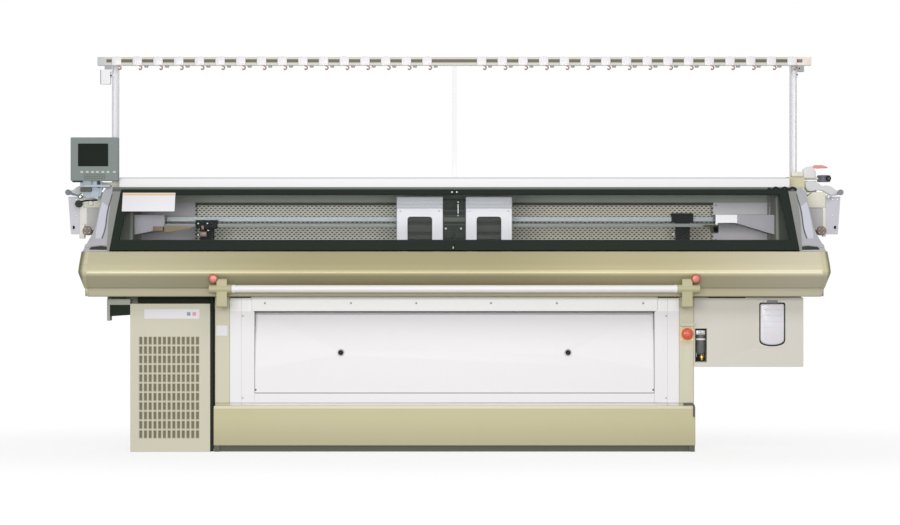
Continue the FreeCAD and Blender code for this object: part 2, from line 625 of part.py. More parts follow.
def make_rear_cover():
    """A folded sheet behind the beds, with a flat skirt down to the base between the legs."""
    body = new_body("rear_cover")
    skin = "sheet_metal"
    knee = "cover_top - (rear_cover_back - rear_cover_knee)"
    pad(body, "x", "-cover_half", "cover_half",
        [("beam_face", "cover_top"), ("rear_cover_knee", "cover_top"), ("rear_cover_back", knee),
         ("rear_cover_back", "rear_cover_bottom"), ("beam_face", "rear_cover_bottom"),
         ("beam_face", f"rear_cover_bottom + {skin}"),
         (f"rear_cover_back - {skin}", f"rear_cover_bottom + {skin}"),
         (f"rear_cover_back - {skin}", f"{knee} - {skin} * 0.414"),
         (f"rear_cover_knee - {skin} * 0.414", f"cover_top - {skin}"), ("beam_face", f"cover_top - {skin}")])
    for near, far in (("-cover_half", f"-cover_half + {skin}"), (f"cover_half - {skin}", "cover_half")):
        pad(body, "x", near, far,
            [("beam_face + seat_gap", "cover_top"), ("rear_cover_knee", "cover_top"), ("rear_cover_back", knee),
             ("rear_cover_back", "rear_cover_bottom"), ("beam_face + seat_gap", "rear_cover_bottom")])
    pad(body, "x", "-leg_outer", "leg_outer",
        box_outline("beam_face", f"beam_face + {skin}", "base_top", f"rear_cover_bottom + {skin}"))
    keep(body)


def make_chute():
    fold_back = "-base_front + panel_fold"
    sides = new_body("right_chute_side")
    pad(sides, "x", "strip_inner", "leg_inner",
        box_outline("-base_front", fold_back, "base_top", "surround_top"))
    cut(sides, "x", "strip_inner", "leg_inner",
        [("-base_front", "base_top"), ("-base_front + base_round", "base_top"),
         ("-base_front + base_round", "base_top + base_round"), ("-base_front", "base_top + base_round")])
    mirrored = doc.addObject("Part::Mirroring", "left_chute_side")
    mirrored.Source = sides
    mirrored.Normal = ACROSS
    sill = new_body("chute_sill")
    pad(sill, "x", "-strip_inner", "strip_inner",
        [("-base_front", "base_top + base_round"), ("-base_front + base_round", "base_top + base_round"),
         ("-base_front + base_round", "base_top"), (fold_back, "base_top"), (fold_back, "sill_top"),
         ("-base_front", "sill_top")])
    strip = new_body("chute_top_strip")
    pad(strip, "y", "-base_front - top_strip_thickness", "-base_front",
        box_outline("-top_strip_half", "top_strip_half", "top_strip_bottom", "surround_top"))
    round_edges(strip, "y", "strip_round", ("-top_strip_half", "top_strip_bottom"),
                ("top_strip_half", "top_strip_bottom"))
    surround = doc.addObject("Part::Compound", "chute_surround")
    surround.Links = [sides, mirrored, sill, strip]
    keep(surround)

    # the panel leans back from its bend to its top edge, where the fabric drops in front of the rollers
    panel = new_body("chute_panel")
    thick = "panel_fold / 2"
    bend_back = f"-base_front + {thick}"
    half = "strip_inner - chute_gap"
    pad(panel, "x", f"-({half})", half,
        [("-base_front", "sill_top"), (bend_back, "sill_top"), (bend_back, "chute_bend"),
         (f"-base_front + chute_recess + {thick}", "chute_top"), ("-base_front + chute_recess", "chute_top"),
         ("-base_front", "chute_bend")])
    lean = "chute_recess * (knob_height - chute_bend) / (chute_top - chute_bend)"
    for side in ("-knob_place", "knob_place"):
        cut(panel, "y", "-base_front", f"-base_front + chute_recess + {thick}",
            (side, "knob_height", "knob_stem + running_fit"))
        pad(panel, "y", f"-base_front + {lean} - 2", f"-base_front + {lean} + {thick}",
            (side, "knob_height", "knob_radius + 2"))
        cut(panel, "y", f"-base_front + {lean} - 2", f"-base_front + {lean} + {thick}",
            (side, "knob_height", "knob_stem + running_fit"))
    keep(panel)
    for label, side in (("left_panel_knob", "-knob_place"), ("right_panel_knob", "knob_place")):
        knob = new_body(label)
        turned(knob, [("0", "0"), ("knob_radius - 2", "0"), ("knob_radius", "2"),
                      ("knob_radius", "knob_length - 2"), ("knob_stem", "knob_length - 2"),
                      ("knob_stem", "knob_length + panel_fold / 2 + 4"),
                      ("0", "knob_length + panel_fold / 2 + 4")])
        set_place(knob, "y", side, f"-base_front + {lean} - knob_length - seat_gap", "knob_height")
        keep(knob)


# ---------------------------------------------------------------- control cabinet


def make_cabinet():
    body = new_body("control_cabinet")
    wall = "cabinet_wall"
    pad(body, "x", "-cabinet_outer", "-cabinet_inner",
        [("-base_front", "0"), ("cabinet_back", "0"), ("cabinet_back", "beam_bottom"),
         ("-beam_face", "beam_bottom"),
         ("-beam_face", "cabinet_lip"), ("-base_front", "cabinet_lip")])
    cut(body, "x", f"-cabinet_outer + {wall}", f"-cabinet_inner - {wall}",
        box_outline(f"-base_front + {wall}", f"cabinet_back - {wall}", wall, f"beam_bottom - {wall}"))
    bar_low = "-fan_place + fan_depth / 2 + seat_gap"
    pad(body, "x", "-cabinet_outer", "-cabinet_inner",
        box_outline(bar_low, f"{bar_low} + fan_bar_thickness", "fan_height - fan_bar / 2",
                    "fan_height + fan_bar / 2"))
    middle = "-(cabinet_outer + cabinet_inner) / 2"
    pad(body, "y", "-fan_place - fan_depth / 2", bar_low, (middle, "fan_height", "fan_pin"))
    slot = cut(body, "y", "-base_front", f"-base_front + {wall}",
               box_outline("-louvre_left", "-louvre_left + louvre_width", "louvre_bottom",
                           "louvre_bottom + louvre_height"))
    grid = body.newObject("PartDesign::LinearPattern", "LouvreGrid")
    grid.Originals = [slot]
    grid.Direction = (slot.Profile[0], ["H_Axis"])
    grid.Direction2 = (slot.Profile[0], ["V_Axis"])
    bind(grid, "Length", "louvre_pitch * (louvre_columns - 1)")
    bind(grid, "Length2", "louvre_rise * (louvre_rows - 1)")
    bind(grid, "Occurrences", "louvre_columns")
    bind(grid, "Occurrences2", "louvre_rows")
    body.Tip = grid
    doc.recompute()
    keep(body)

    fan = new_body("cabinet_fan")
    half = "fan_depth / 2"
    pad(fan, "z", f"-{half}", half, ("0", "0", "fan_hub"))
    blade = pad(fan, "x", "0", "fan_radius",
                [("-blade_thickness / 2", f"-{half}"), ("blade_thickness / 2", f"-{half}"),
                 ("blade_thickness / 2 + blade_pitch / 2", half),
                 ("-blade_thickness / 2 + blade_pitch / 2", half)])
    ring = body_axis(fan, "Z_Axis")
    around = fan.newObject("PartDesign::PolarPattern", "Blades")
    around.Originals = [blade]
    around.Axis = (ring, [""])
    around.Angle = FULL_TURN
    bind(around, "Occurrences", "blade_count")
    fan.Tip = around
    doc.recompute()
    cut(fan, "z", f"-{half}", half, ("0", "0", "fan_pin + running_fit"))
    set_place(fan, "y", middle, "-fan_place", "fan_height")
    keep(fan)

    duct = new_body("cable_duct")
    pad(duct, "x", "-cabinet_outer - duct_width", "-cabinet_outer",
        box_outline("-base_front", "-beam_face", "duct_bottom", "duct_top"))
    cut(duct, "y", "-base_front", "-beam_face - sheet_metal",
        box_outline("-cabinet_outer - duct_width + duct_mouth", "-cabinet_outer - sheet_metal",
                    "duct_bottom + duct_mouth", "duct_top - duct_mouth * 3"))
    keep(duct)


def body_axis(body, role):
    return [part for part in body.Origin.OriginFeatures if part.Role == role][0]


# ---------------------------------------------------------------- oil cabinet


def make_oil_cabinet():
    body = new_body("oil_cabinet")
    pad(body, "x", "leg_outer", "oil_outer",
        [("-base_front", "oil_bottom"), ("oil_back", "oil_bottom"), ("oil_back", "beam_bottom"),
         ("-beam_face", "beam_bottom"), ("-beam_face", "oil_top"), ("-base_front", "oil_top")])
    round_edges(body, "y", "leg_round", ("oil_outer", "oil_top"), ("oil_outer", "oil_bottom"))
    cut(body, "y", "-base_front", "-base_front + oil_recess",
        box_outline("tank_left - recess_margin", "tank_right + recess_margin", "tank_bottom", "recess_top"),
        box_outline("pump_left", "pump_right", "pump_bottom", "pump_top"))
    keep(body)

    tank = new_body("oil_tank")
    back = "-base_front + oil_recess"
    pad(tank, "y", "-tank_front", back, box_outline("tank_left", "tank_right", "tank_bottom", "tank_top"))
    round_edges(tank, "y", "tank_round", ("tank_left", "tank_bottom"), ("tank_right", "tank_bottom"))
    centre = "(tank_left + tank_right) / 2"
    line = "-base_front + oil_recess - cap_radius - 1"
    pad(tank, "z", "tank_top", "tank_top + neck_height", (centre, line, "neck_radius"))
    keep(tank)

    cap = new_body("oil_tank_cap")
    turned(cap, [("0", "neck_height + seat_gap"), ("neck_radius + seat_gap", "neck_height + seat_gap"),
                 ("neck_radius + seat_gap", "seat_gap"), ("cap_radius", "seat_gap"),
                 ("cap_radius", "cap_height - 2"),
                 ("cap_radius - 2", "cap_height"), ("0", "cap_height")])
    set_place(cap, "z", centre, line, "tank_top")
    keep(cap)

    pump = new_body("oil_pump")
    middle = "(pump_left + pump_right) / 2"
    back = "-base_front + oil_recess"
    pad(pump, "y", f"{back} - bowl_radius", back,
        box_outline(f"{middle} - bowl_radius", f"{middle} + bowl_radius", "pump_bottom + bowl_radius",
                    "pump_top - bowl_radius"))
    pad(pump, "z", "pump_bottom + bowl_radius / 2", "pump_top - bowl_radius / 2",
        (middle, f"{back} - bowl_radius", "bowl_radius * 0.8"))
    keep(pump)


# ---------------------------------------------------------------- controls on the front


def make_bar():
    bar = new_body("operating_bar")
    turned(bar, [("0", "-bar_journal_end"), ("bar_journal", "-bar_journal_end"), ("bar_journal", "-bar_half"),
                 ("bar_radius", "-bar_half"), ("bar_radius", "bar_half"), ("bar_journal", "bar_half"),
                 ("bar_journal", "bar_journal_end"), ("0", "bar_journal_end")])
    set_place(bar, "x", "0", "-bar_place", "bar_height")
    keep(bar)

    body = new_body("right_bar_bracket")
    pad(body, "x", "leg_inner", "bracket_column",
        [("-base_front", "bracket_low"), ("-base_front", "bracket_foot_top"),
         ("-bracket_back", "bracket_foot_top"),
         ("-bracket_back", "bracket_column_top"), ("-bracket_front", "bracket_column_top"),
         ("-bracket_front", "bracket_low")])
    round_edges(body, "x", "bracket_round", ("-bracket_front", "bracket_low"),
                ("-bracket_front", "bracket_column_top"))
    pad(body, "x", "bracket_inner", "bracket_outer", ("-bar_place", "bar_height", "boss_radius"))
    pad(body, "y", "-bracket_front", "-bracket_back - stop_back / 2",
        ("stop_place", "stop_height", "stop_housing"))
    cut(body, "x", "bracket_inner", "bar_journal_end + 1",
        ("-bar_place", "bar_height", "bar_journal + running_fit"))
    cut(body, "y", "-bracket_front", "-bracket_back - stop_back",
        ("stop_place", "stop_height", "stop_stem + seat_gap"))
    twin("bar_brackets", body, ACROSS)

    for label, side in (("left_stop_button", "-stop_place"), ("right_stop_button", "stop_place")):
        button = new_body(label)
        head = "stop_travel + stop_head_thickness"
        turned(button, [("0", "0"), ("stop_head - 2", "0"), ("stop_head", "2"),
                        ("stop_head", "stop_head_thickness"),
                        ("stop_stem", "stop_head_thickness"), ("stop_stem", f"{head} + stop_depth"),
                        ("0", f"{head} + stop_depth")])
        set_place(button, "y", side, f"-bracket_front - ({head}) - seat_gap", "stop_height")
        keep(button)


def make_estop():
    plate = new_body("estop_plate")
    front = "-base_front - estop_plate_thickness"
    left, right = "estop_place - estop_plate_half", "estop_place + estop_plate_half"
    pad(plate, "y", front, "-base_front", box_outline(left, right, "estop_plate_low", "estop_plate_high"))
    pad(plate, "y", "-base_front - guard_reach", "-base_front",
        box_outline(left, right, "estop_plate_high", "guard_high"))
    cut(plate, "y", front, "-base_front", ("estop_place", "estop_height", "estop_stem + seat_gap"))
    keep(plate)

    button = new_body("estop_button")
    neck = "estop_head_thickness + estop_neck_length"
    stem = f"{neck} + estop_travel + estop_plate_thickness + estop_depth - 7"
    turned(button, [("0", "0"), ("estop_head * 0.7", "1"), ("estop_head", "5"),
                    ("estop_head", "estop_head_thickness - 3"), ("estop_neck", "estop_head_thickness"),
                    ("estop_neck", neck), ("estop_stem", neck), ("estop_stem", stem), ("0", stem)])
    set_place(button, "y", "estop_place", f"{front} - ({neck}) - estop_travel - seat_gap", "estop_height")
    keep(button)


# ---------------------------------------------------------------- windows


def make_windows():
    header = new_body("window_header")
    pad(header, "x", "-end_outer", "end_outer",
        box_outline("-window_hinge + window_thickness / 2 + seat_gap", "-end_neck - header_gap",
                    "header_low", "shelf_bottom"))
    keep(header)

    # drawn upright with the hinge line at the origin, then leaned back until the lower edge meets the cover
    length = ("(window_top - cover_top - seat_gap - window_thickness / 2 * sin(window_lean))"
              " / cos(window_lean)")
    for label, side in (("left_window", -1), ("right_window", 1)):
        sign = "-" if side < 0 else ""
        across = [f"{sign}({formula})" for formula in
                  ("window_gap", "window_top_half", "window_bottom_half", "window_top_half - window_stile",
                   "window_bottom_half - window_stile")]
        gap, top_end, low_end, top_glass, low_glass = across
        half = "window_thickness / 2"
        frame_low, glass_low = f"-{length}", f"-{length} + window_bottom_rail"
        frame = new_body(label + "_frame")
        outline = [(gap, frame_low), (low_end, frame_low), (top_end, "0"), (gap, "0"),
                   (gap, "-window_top_rail"),
                   (top_glass, "-window_top_rail"), (low_glass, glass_low), (gap, glass_low)]
        pad(frame, "y", f"-({half})", half, outline)
        round_edges(frame, "x", "3", (f"-({half})", frame_low))
        barrel = (gap, top_end) if side > 0 else (top_end, gap)
        pad(frame, "x", *barrel, ("0", "0", half))
        keep(frame)
        glass = new_body(label + "_glass")
        pad(glass, "y", "-glass_thickness / 2", "glass_thickness / 2",
            [(gap, glass_low), (low_glass, glass_low), (top_glass, "-window_top_rail"),
             (gap, "-window_top_rail")])
        keep(glass)
        for piece in (frame, glass):
            piece.Placement = FreeCAD.Placement(V(0, 0, 0), FreeCAD.Rotation(V(-1, 0, 0), value("window_lean")))
            bind(piece, ".Placement.Rotation.Angle", "window_lean")
            bind(piece, ".Placement.Base.y", "-window_hinge")
            bind(piece, ".Placement.Base.z", "window_top")


# ---------------------------------------------------------------- shelf, posts and guide rail


def make_top():
    panel = new_body("back_panel")
    pad(panel, "y", "beam_face", "beam_face + sheet_metal",
        box_outline("-side_wall", "side_wall", "cover_top", "shelf_bottom"))
    keep(panel)

    shelf = new_body("yarn_shelf")
    pad(shelf, "z", "shelf_bottom", "shelf_top",
        box_outline("-shelf_half", "shelf_half", "-shelf_front", "shelf_back"))
    side = "shelf_half - shelf_wall"
    cut(shelf, "z", "shelf_bottom + shelf_wall", "shelf_top",
        box_outline(f"-({side})", side, "-shelf_front + shelf_wall", "shelf_back - shelf_wall"))
    hole = "middle_half + seat_gap"
    cut(shelf, "z", "shelf_bottom", "shelf_bottom + shelf_wall",
        box_outline(f"-({hole})", hole, f"-guide_place - ({hole})", f"-guide_place + {hole}"))
    back = "beam_face + sheet_metal + seat_gap"
    for place in ("-gusset_place", "0", "gusset_place"):
        pad(shelf, "x", f"{place} - gusset_half", f"{place} + gusset_half",
            [(back, "shelf_bottom"), (f"{back} + gusset_reach", "shelf_bottom"),
             (back, "shelf_bottom - gusset_drop")])
    keep(shelf)

    # the outer posts are U channels on foot blocks beside the shelf, each with a hanger under the guide
    # rail's end, and the middle one goes through the shelf's floor to a flange under it
    front, back = "-guide_place - post_half", "-guide_place + post_half"
    pieces = []
    for label, sign, top in (("left_post", "-", "foot_top"), ("right_post", "", "right_foot_top")):
        post = new_body(label)
        ends = [f"{sign}({place})" for place in ("shelf_half", "foot_outer", "post_place - post_half",
                                                 "post_place + post_half", "post_place - post_half + post_wall",
                                                 "post_place + post_half - post_wall")]
        pad(post, "z", "shelf_bottom", top, box_outline(ends[0], ends[1], f"{front} - foot_reach",
                                                        f"{back} + foot_reach"))
        pad(post, "z", top, "guide_low", box_outline(ends[2], ends[3], front, back))
        cut(post, "z", top, "guide_low", box_outline(ends[4], ends[5], front, f"{back} - post_wall"))
        reach = [f"{sign}({place})" for place in ("post_place + post_half", "hanger_reach",
                                                  "post_place + post_half + post_wall")]
        pad(post, "y", front, back,
            [(reach[0], "hanger_leg_low"), (reach[2], "hanger_leg_low"), (reach[2], "hanger_low"),
             (reach[1], "hanger_low"), (reach[1], "guide_low"), (reach[0], "guide_low")])
        if sign:
            pad(post, "y", front, back,
                box_outline("-rail_box_left", "-rail_box_right", "rail_box_low", "rail_box_high"))
            round_edges(post, "y", "rail_box_round", ("-rail_box_right", "rail_box_low"))
        pieces.append(post)
    flange = new_body("middle_post_flange")
    pad(flange, "z", "shelf_bottom - shelf_wall", "shelf_bottom",
        box_outline("-flange_half", "flange_half", "-guide_place - flange_half", "-guide_place + flange_half"))
    middle = new_body("middle_post")
    pad(middle, "z", "shelf_bottom", "guide_low",
        box_outline("-middle_half", "middle_half", "-guide_place - middle_half", "-guide_place + middle_half"))
    posts = doc.addObject("Part::Compound", "rail_posts")
    posts.Links = pieces + [middle, flange]
    keep(posts)

    rail = new_body("guide_rail")
    front, back = "-guide_place - guide_half", "-guide_place + guide_half"
    pad(rail, "x", "-rail_half", "rail_half", box_outline(front, back, "guide_low", "guide_high"))
    cut(rail, "x", "-rail_half + rail_cap", "rail_half - rail_cap",
        box_outline(front, f"{front} + groove_depth", "groove_low", "groove_high"))
    keep(rail)

    guide = new_body("right_yarn_guides")
    lip = f"{front} - clamp_front"
    top = "guide_high + clamp_cap"
    left, right = "clamp_first - clamp_width / 2", "clamp_first + clamp_width / 2"
    pad(guide, "x", left, right,
        [(lip, "clamp_low"), (front, "clamp_low"), (front, "guide_high"), ("-guide_place", "guide_high"),
         ("-guide_place", top), (lip, top)])
    pad(guide, "y", lip, f"{lip} + hook_thickness",
        [("clamp_first - hook_half", "clamp_low"), ("clamp_first - hook_half", "hook_low"),
         ("clamp_first + hook_half", "hook_low"), ("clamp_first + hook_half", "hook_low + hook_slot"),
         ("clamp_first - hook_half + hook_slot", "hook_low + hook_slot"),
         ("clamp_first - hook_half + hook_slot", "clamp_low")])
    row = guide.newObject("PartDesign::LinearPattern", "ClampRow")
    row.Originals = [part for part in guide.Group if part.TypeId == "PartDesign::Pad"]
    row.Direction = (body_axis(guide, "X_Axis"), [""])
    bind(row, "Length", "clamp_pitch * (clamp_count - 1)")
    bind(row, "Occurrences", "clamp_count")
    guide.Tip = row
    doc.recompute()
    twin("yarn_guides", guide, ACROSS)


# ---------------------------------------------------------------- monitor


def make_monitor():
    arm = new_body("monitor_arm")
    pad(arm, "z", "shelf_bottom", "shelf_bottom + arm_height",
        box_outline("-arm_left", "-end_outer - 10", "-pin_line - 30", "-pin_line + 30"))
    pad(arm, "z", "shelf_bottom + arm_height", "monitor_low + pin_rise",
        ("-pin_place", "-pin_line", "pin_radius"))
    pad(arm, "z", "shelf_bottom + arm_height", "monitor_low - seat_gap",
        ("-pin_place", "-pin_line", "pin_radius * 2"))
    pad(arm, "y", "-pin_line - skirt_thickness", "-pin_line",
        [("-skirt_left", "skirt_step_low"), ("-skirt_step", "skirt_step_low"),
         ("-skirt_step", "skirt_low + pin_rise"),
         ("-skirt_toe", "skirt_low"), ("-skirt_right", "skirt_top"), ("-skirt_left", "skirt_top")])
    keep(arm)

    body = new_body("monitor")
    pad(body, "y", "-monitor_front", "-monitor_back",
        box_outline("-monitor_left", "-monitor_right", "monitor_low", "monitor_high"))
    round_edges(body, "y", "monitor_round", *[(side, height) for side in ("-monitor_left", "-monitor_right")
                                              for height in ("monitor_low", "monitor_high")])
    cut(body, "y", "-monitor_front", "-monitor_front + screen_depth",
        box_outline("-screen_left", "-screen_right", "screen_low", "screen_high"))
    cut(body, "z", "monitor_low", "monitor_low + pin_rise + 1",
        ("-pin_place", "-pin_line", "pin_radius + running_fit"))
    keep(body)


# ---------------------------------------------------------------- sides


def make_sides():
    body = new_body("right_side_cover")
    pad(body, "y", "-side_front", "beam_face",
        [("end_outer", "cover_bottom"), ("side_flare", "cover_bottom"), ("side_flare", "side_flare_low"),
         ("side_waist", "side_waist_height"), ("side_wall", "shelf_bottom"), ("end_outer", "shelf_bottom")])
    cut(body, "x", "end_outer", "side_flare",
        [("-side_front", "cover_bottom"), ("-beam_face", "cover_bottom"), ("-beam_face", "cover_top"),
         ("-side_front", "cover_top")],
        [("-side_front", "side_flare_low + 1"), ("-side_front_top", "shelf_bottom"),
         ("-side_front", "shelf_bottom")])
    round_edges(body, "y", "side_round", ("side_wall", "shelf_bottom"))
    round_edges(body, "y", "side_round * 4", ("side_waist", "side_waist_height"))
    twin("side_covers", body, ACROSS)


def wall_at(height):
    """How far out the side cover's wall stands at a height above its waist."""
    rise = "(side_waist - side_wall) / (shelf_bottom - side_waist_height)"
    return f"side_wall + {rise} * (shelf_bottom - {height}) + seat_gap"


def make_side_units():
    """Yarn feeding units on the side covers: mounting box, block, motor, column, plate and hood."""
    unit = new_body("right_side_unit")
    pad(unit, "y", "-unit_far", "-unit_near",
        [(wall_at("unit_box_low"), "unit_box_low"), ("unit_box_end", "unit_box_low"),
         ("unit_box_end", "unit_box_high"), (wall_at("unit_box_high"), "unit_box_high")])
    pad(unit, "y", "-unit_block_far", "-unit_block_near",
        [(wall_at("unit_block_low"), "unit_block_low"), ("unit_block_low_end", "unit_motor_height"),
         ("unit_block_end", "unit_motor_height"), ("unit_block_end", "unit_box_low"),
         (wall_at("unit_box_low"), "unit_box_low")])
    pad(unit, "y", "-unit_motor_far", "-unit_near",
        ("unit_motor_place", "unit_motor_height", "unit_motor_radius"))
    pad(unit, "y", "-column_far", "-column_near",
        [("column_slim", "column_low"), ("column_end", "column_low"), ("column_end", "unit_box_high"),
         ("unit_block_end", "unit_box_high"), ("unit_block_end", "column_step"),
         ("column_slim", "column_step")])
    pad(unit, "y", "-side_plate_line - side_plate_thickness / 2", "-side_plate_line + side_plate_thickness / 2",
        [("column_end", "side_plate_low"), ("side_plate_outer - side_plate_taper", "side_plate_low"),
         ("side_plate_outer", "side_plate_high"), ("column_end", "side_plate_high")])
    cut(unit, "y", "-side_plate_line - side_plate_thickness / 2", "-side_plate_line + side_plate_thickness / 2",
        ("side_hole_place", "side_hole_height", "side_hole"))
    pad(unit, "y", "-column_far", "-column_near",
        [("hood_inner", "hood_heel"), ("hood_inner", "unit_box_high"),
         ("column_end", "unit_box_high"), ("column_end", "hood_low"), ("hood_outer", "hood_low"),
         ("hood_outer", "hood_nose"), ("pivot_place", "hood_high")])
    pad(unit, "y", "-unit_far - arm_thickness - 2", "-column_near",
        ("pivot_place", "pivot_height", "pivot_radius"))
    left = doc.addObject("Part::Mirroring", "left_side_unit")
    left.Source = unit
    left.Normal = ACROSS

    # the right side also has a wheel on a rod with a small yarn feeder over it and a sheet down from the
    # foot block, and the left side a yarn idler with its tube
    wheel = new_body("side_wheel")
    middle = "wheel_low + wheel_height / 2"
    pad(wheel, "x", "foot_outer", "wheel_rod_end", ("-wheel_line", middle, "wheel_rod"))
    pad(wheel, "z", "wheel_low", "wheel_low + wheel_height",
        ("wheel_rod_end + wheel_radius / 2", "-wheel_line", "wheel_radius"))
    pad(wheel, "y", "-wheel_line - feed_half", "-wheel_line + feed_half",
        [("feed_left + wheel_rod * 2", middle), ("feed_right", middle), ("feed_right", "feed_high"),
         ("feed_left + feed_half * 2", "feed_high - wheel_rod"), ("feed_left", "feed_high - wheel_rod * 3")])
    pad(wheel, "y", "-wheel_line - lever_rise", "-wheel_line + lever_rise",
        [("feed_right - lever_rise", "feed_high - wheel_rod"), ("lever_end", "feed_high - wheel_rod * 2.4"),
         ("lever_end", "feed_high - wheel_rod * 1.6"), ("feed_right - lever_rise", "feed_high + lever_rise")])
    pad(wheel, "y", "-wheel_line", "-wheel_line + sheet_metal",
        [("foot_outer", "sheet_inner_low"), ("sheet_toe", "sheet_toe_low"), ("sheet_heel", "sheet_heel_low"),
         ("sheet_heel", "sheet_high"), ("foot_outer", "sheet_high")])
    idler = new_body("side_idler")
    pad(idler, "y", "-idler_far", "-column_far", ("-idler_place", "idler_height", "idler_radius"))
    start = "idler_place - idler_radius + tube_half"
    pad(idler, "y", "-unit_far - seat_gap - tube_depth", "-unit_far - seat_gap",
        [(f"-({start})", "idler_height - tube_half"), ("-tube_end", "idler_height + tube_rise - tube_half"),
         ("-tube_end", "idler_height + tube_rise + tube_half"), (f"-({start})", "idler_height + tube_half")])
    units = doc.addObject("Part::Compound", "side_yarn_units")
    units.Links = [left, unit, wheel, idler]
    keep(units)

    arm = new_body("right_tension_arm")
    near, far = "-unit_far - arm_thickness - seat_gap", "-unit_far - seat_gap"
    end = "pivot_place + arm_reach"
    pad(arm, "y", near, far, ("pivot_place", "pivot_height", "arm_hub"))
    pad(arm, "y", near, far, (end, "arm_disc_height", "arm_disc"))
    pad(arm, "y", f"{near} + 2", f"{far} - 2",
        [("pivot_place", "pivot_height - arm_bar"), (end, "arm_disc_height - arm_bar"),
         (end, "arm_disc_height + arm_bar"), ("pivot_place", "pivot_height + arm_bar")])
    cut(arm, "y", near, far, ("pivot_place", "pivot_height", "pivot_radius + running_fit"))
    keep(arm)
    mirror_of("left_tension_arm", arm)


def make_rod():
    """A round rod that lies on the base beam and turns down over its end."""
    body = new_body("bent_rod")
    front = "-base_front - rod_radius"
    pad(body, "x", "rod_left", "rod_right", (front, "rod_height", "rod_radius"))
    pad(body, "z", "rod_height - rod_drop", "rod_height", ("rod_right", front, "rod_radius"))
    keep(body)


# ---------------------------------------------------------------- build

for step in (make_base, make_legs, make_beds, make_end_frames, make_carriage, make_drive, make_yarn_rails):
    step()
make_carrier("left_yarn_carrier", "-left_parked", -1, "front_rail_low", "front_rail_high")
make_carrier("right_yarn_carrier", "right_parked", 1, "rear_rail_low", "rear_rail_high")
for step in (make_takedown, make_front_cover, make_rear_cover, make_chute, make_cabinet, make_oil_cabinet,
             make_bar, make_estop, make_windows, make_top, make_monitor, make_sides, make_side_units, make_rod):
    step()

doc.recompute()
faulty = [thing.Label for thing in doc.Objects if "Invalid" in thing.State or "Error" in thing.State]
if faulty:
    raise ValueError(f"not built: {faulty}")
for node in nodes:
    if node.Shape.isNull() or not node.Shape.isValid() or not node.Shape.Solids:
        raise ValueError(f"bad shape: {node.Label}")

os.makedirs("parts", exist_ok=True)
for node in nodes:
    node.Shape.exportStep(f"parts/{node.Label}.step")
box = Part.makeCompound([node.Shape for node in nodes]).BoundBox
print(len(nodes), "parts,", round(box.XLength, 1), round(box.YLength, 1), round(box.ZLength, 1))
print("box", [round(side, 2) for side in (box.XMin, box.XMax, box.YMin, box.YMax, box.ZMin, box.ZMax)])
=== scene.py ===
import json
import math

import bmesh
import bpy
import numpy as np
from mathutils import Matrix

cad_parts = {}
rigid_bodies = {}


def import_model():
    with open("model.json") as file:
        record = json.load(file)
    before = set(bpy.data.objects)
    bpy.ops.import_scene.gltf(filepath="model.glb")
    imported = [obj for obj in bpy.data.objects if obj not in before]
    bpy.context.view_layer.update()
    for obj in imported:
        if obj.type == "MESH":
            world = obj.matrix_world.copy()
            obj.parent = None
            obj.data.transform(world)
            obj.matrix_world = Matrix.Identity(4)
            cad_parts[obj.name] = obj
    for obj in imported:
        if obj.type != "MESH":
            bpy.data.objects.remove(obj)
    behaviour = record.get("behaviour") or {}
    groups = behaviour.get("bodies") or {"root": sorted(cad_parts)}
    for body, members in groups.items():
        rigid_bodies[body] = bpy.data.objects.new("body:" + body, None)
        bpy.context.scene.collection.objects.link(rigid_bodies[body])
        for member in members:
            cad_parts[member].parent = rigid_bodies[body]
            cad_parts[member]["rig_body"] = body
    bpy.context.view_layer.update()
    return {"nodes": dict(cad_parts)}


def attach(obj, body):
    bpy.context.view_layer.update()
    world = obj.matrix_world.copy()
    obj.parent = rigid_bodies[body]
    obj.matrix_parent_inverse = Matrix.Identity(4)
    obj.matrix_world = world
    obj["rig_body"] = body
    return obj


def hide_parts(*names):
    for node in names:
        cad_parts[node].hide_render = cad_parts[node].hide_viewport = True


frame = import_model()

nodes = frame["nodes"]
scene = bpy.context.scene
mm = 0.001
print("frame loaded,", len(nodes), "nodes")


# shapes: each function gives (points in millimetres, faces), worked out as whole arrays

def unit(vectors):
    return vectors / np.maximum(np.linalg.norm(vectors, axis=-1, keepdims=True), 1e-9)


def loft(rings, caps=True):
    # rings is sections x points x 3; neighbouring sections are joined by quads and each end gets one face
    rings = np.asarray(rings, float)
    index = np.arange(rings.shape[0] * rings.shape[1]).reshape(rings.shape[:2])
    a, b = index[:-1], index[1:]
    faces = np.stack([a, np.roll(a, -1, 1), np.roll(b, -1, 1), b], -1).reshape(-1, 4).tolist()
    if caps:
        faces += [index[0, ::-1].tolist(), index[-1].tolist()]
    return rings.reshape(-1, 3), faces


def rounded(corners, radii, steps):
    # every corner gives way to an arc whose centre lies on the bisector, at radius / sin(half the corner's angle)
    corners = np.asarray(corners, float)
    radii = np.broadcast_to(np.asarray(radii, float), (len(corners),))[:, None]
    back, ahead = unit(np.roll(corners, 1, 0) - corners), unit(np.roll(corners, -1, 0) - corners)
    half = np.arccos(np.clip((back * ahead).sum(1, keepdims=True), -1, 1)) / 2
    centre = corners + unit(back + ahead) * radii / np.sin(half)
    start, end = corners + back * radii / np.tan(half) - centre, corners + ahead * radii / np.tan(half) - centre
    turn = np.maximum(np.pi - 2 * half, 1e-6)[:, None]
    share = np.linspace(0, 1, steps + 1)[None, :, None]
    arc = (np.sin((1 - share) * turn) * start[:, None] + np.sin(share * turn) * end[:, None]) / np.sin(turn)
    path = (centre[:, None] + arc).reshape(-1, 2)
    return path[np.linalg.norm(path - np.roll(path, 1, 0), axis=1) > 1e-3]


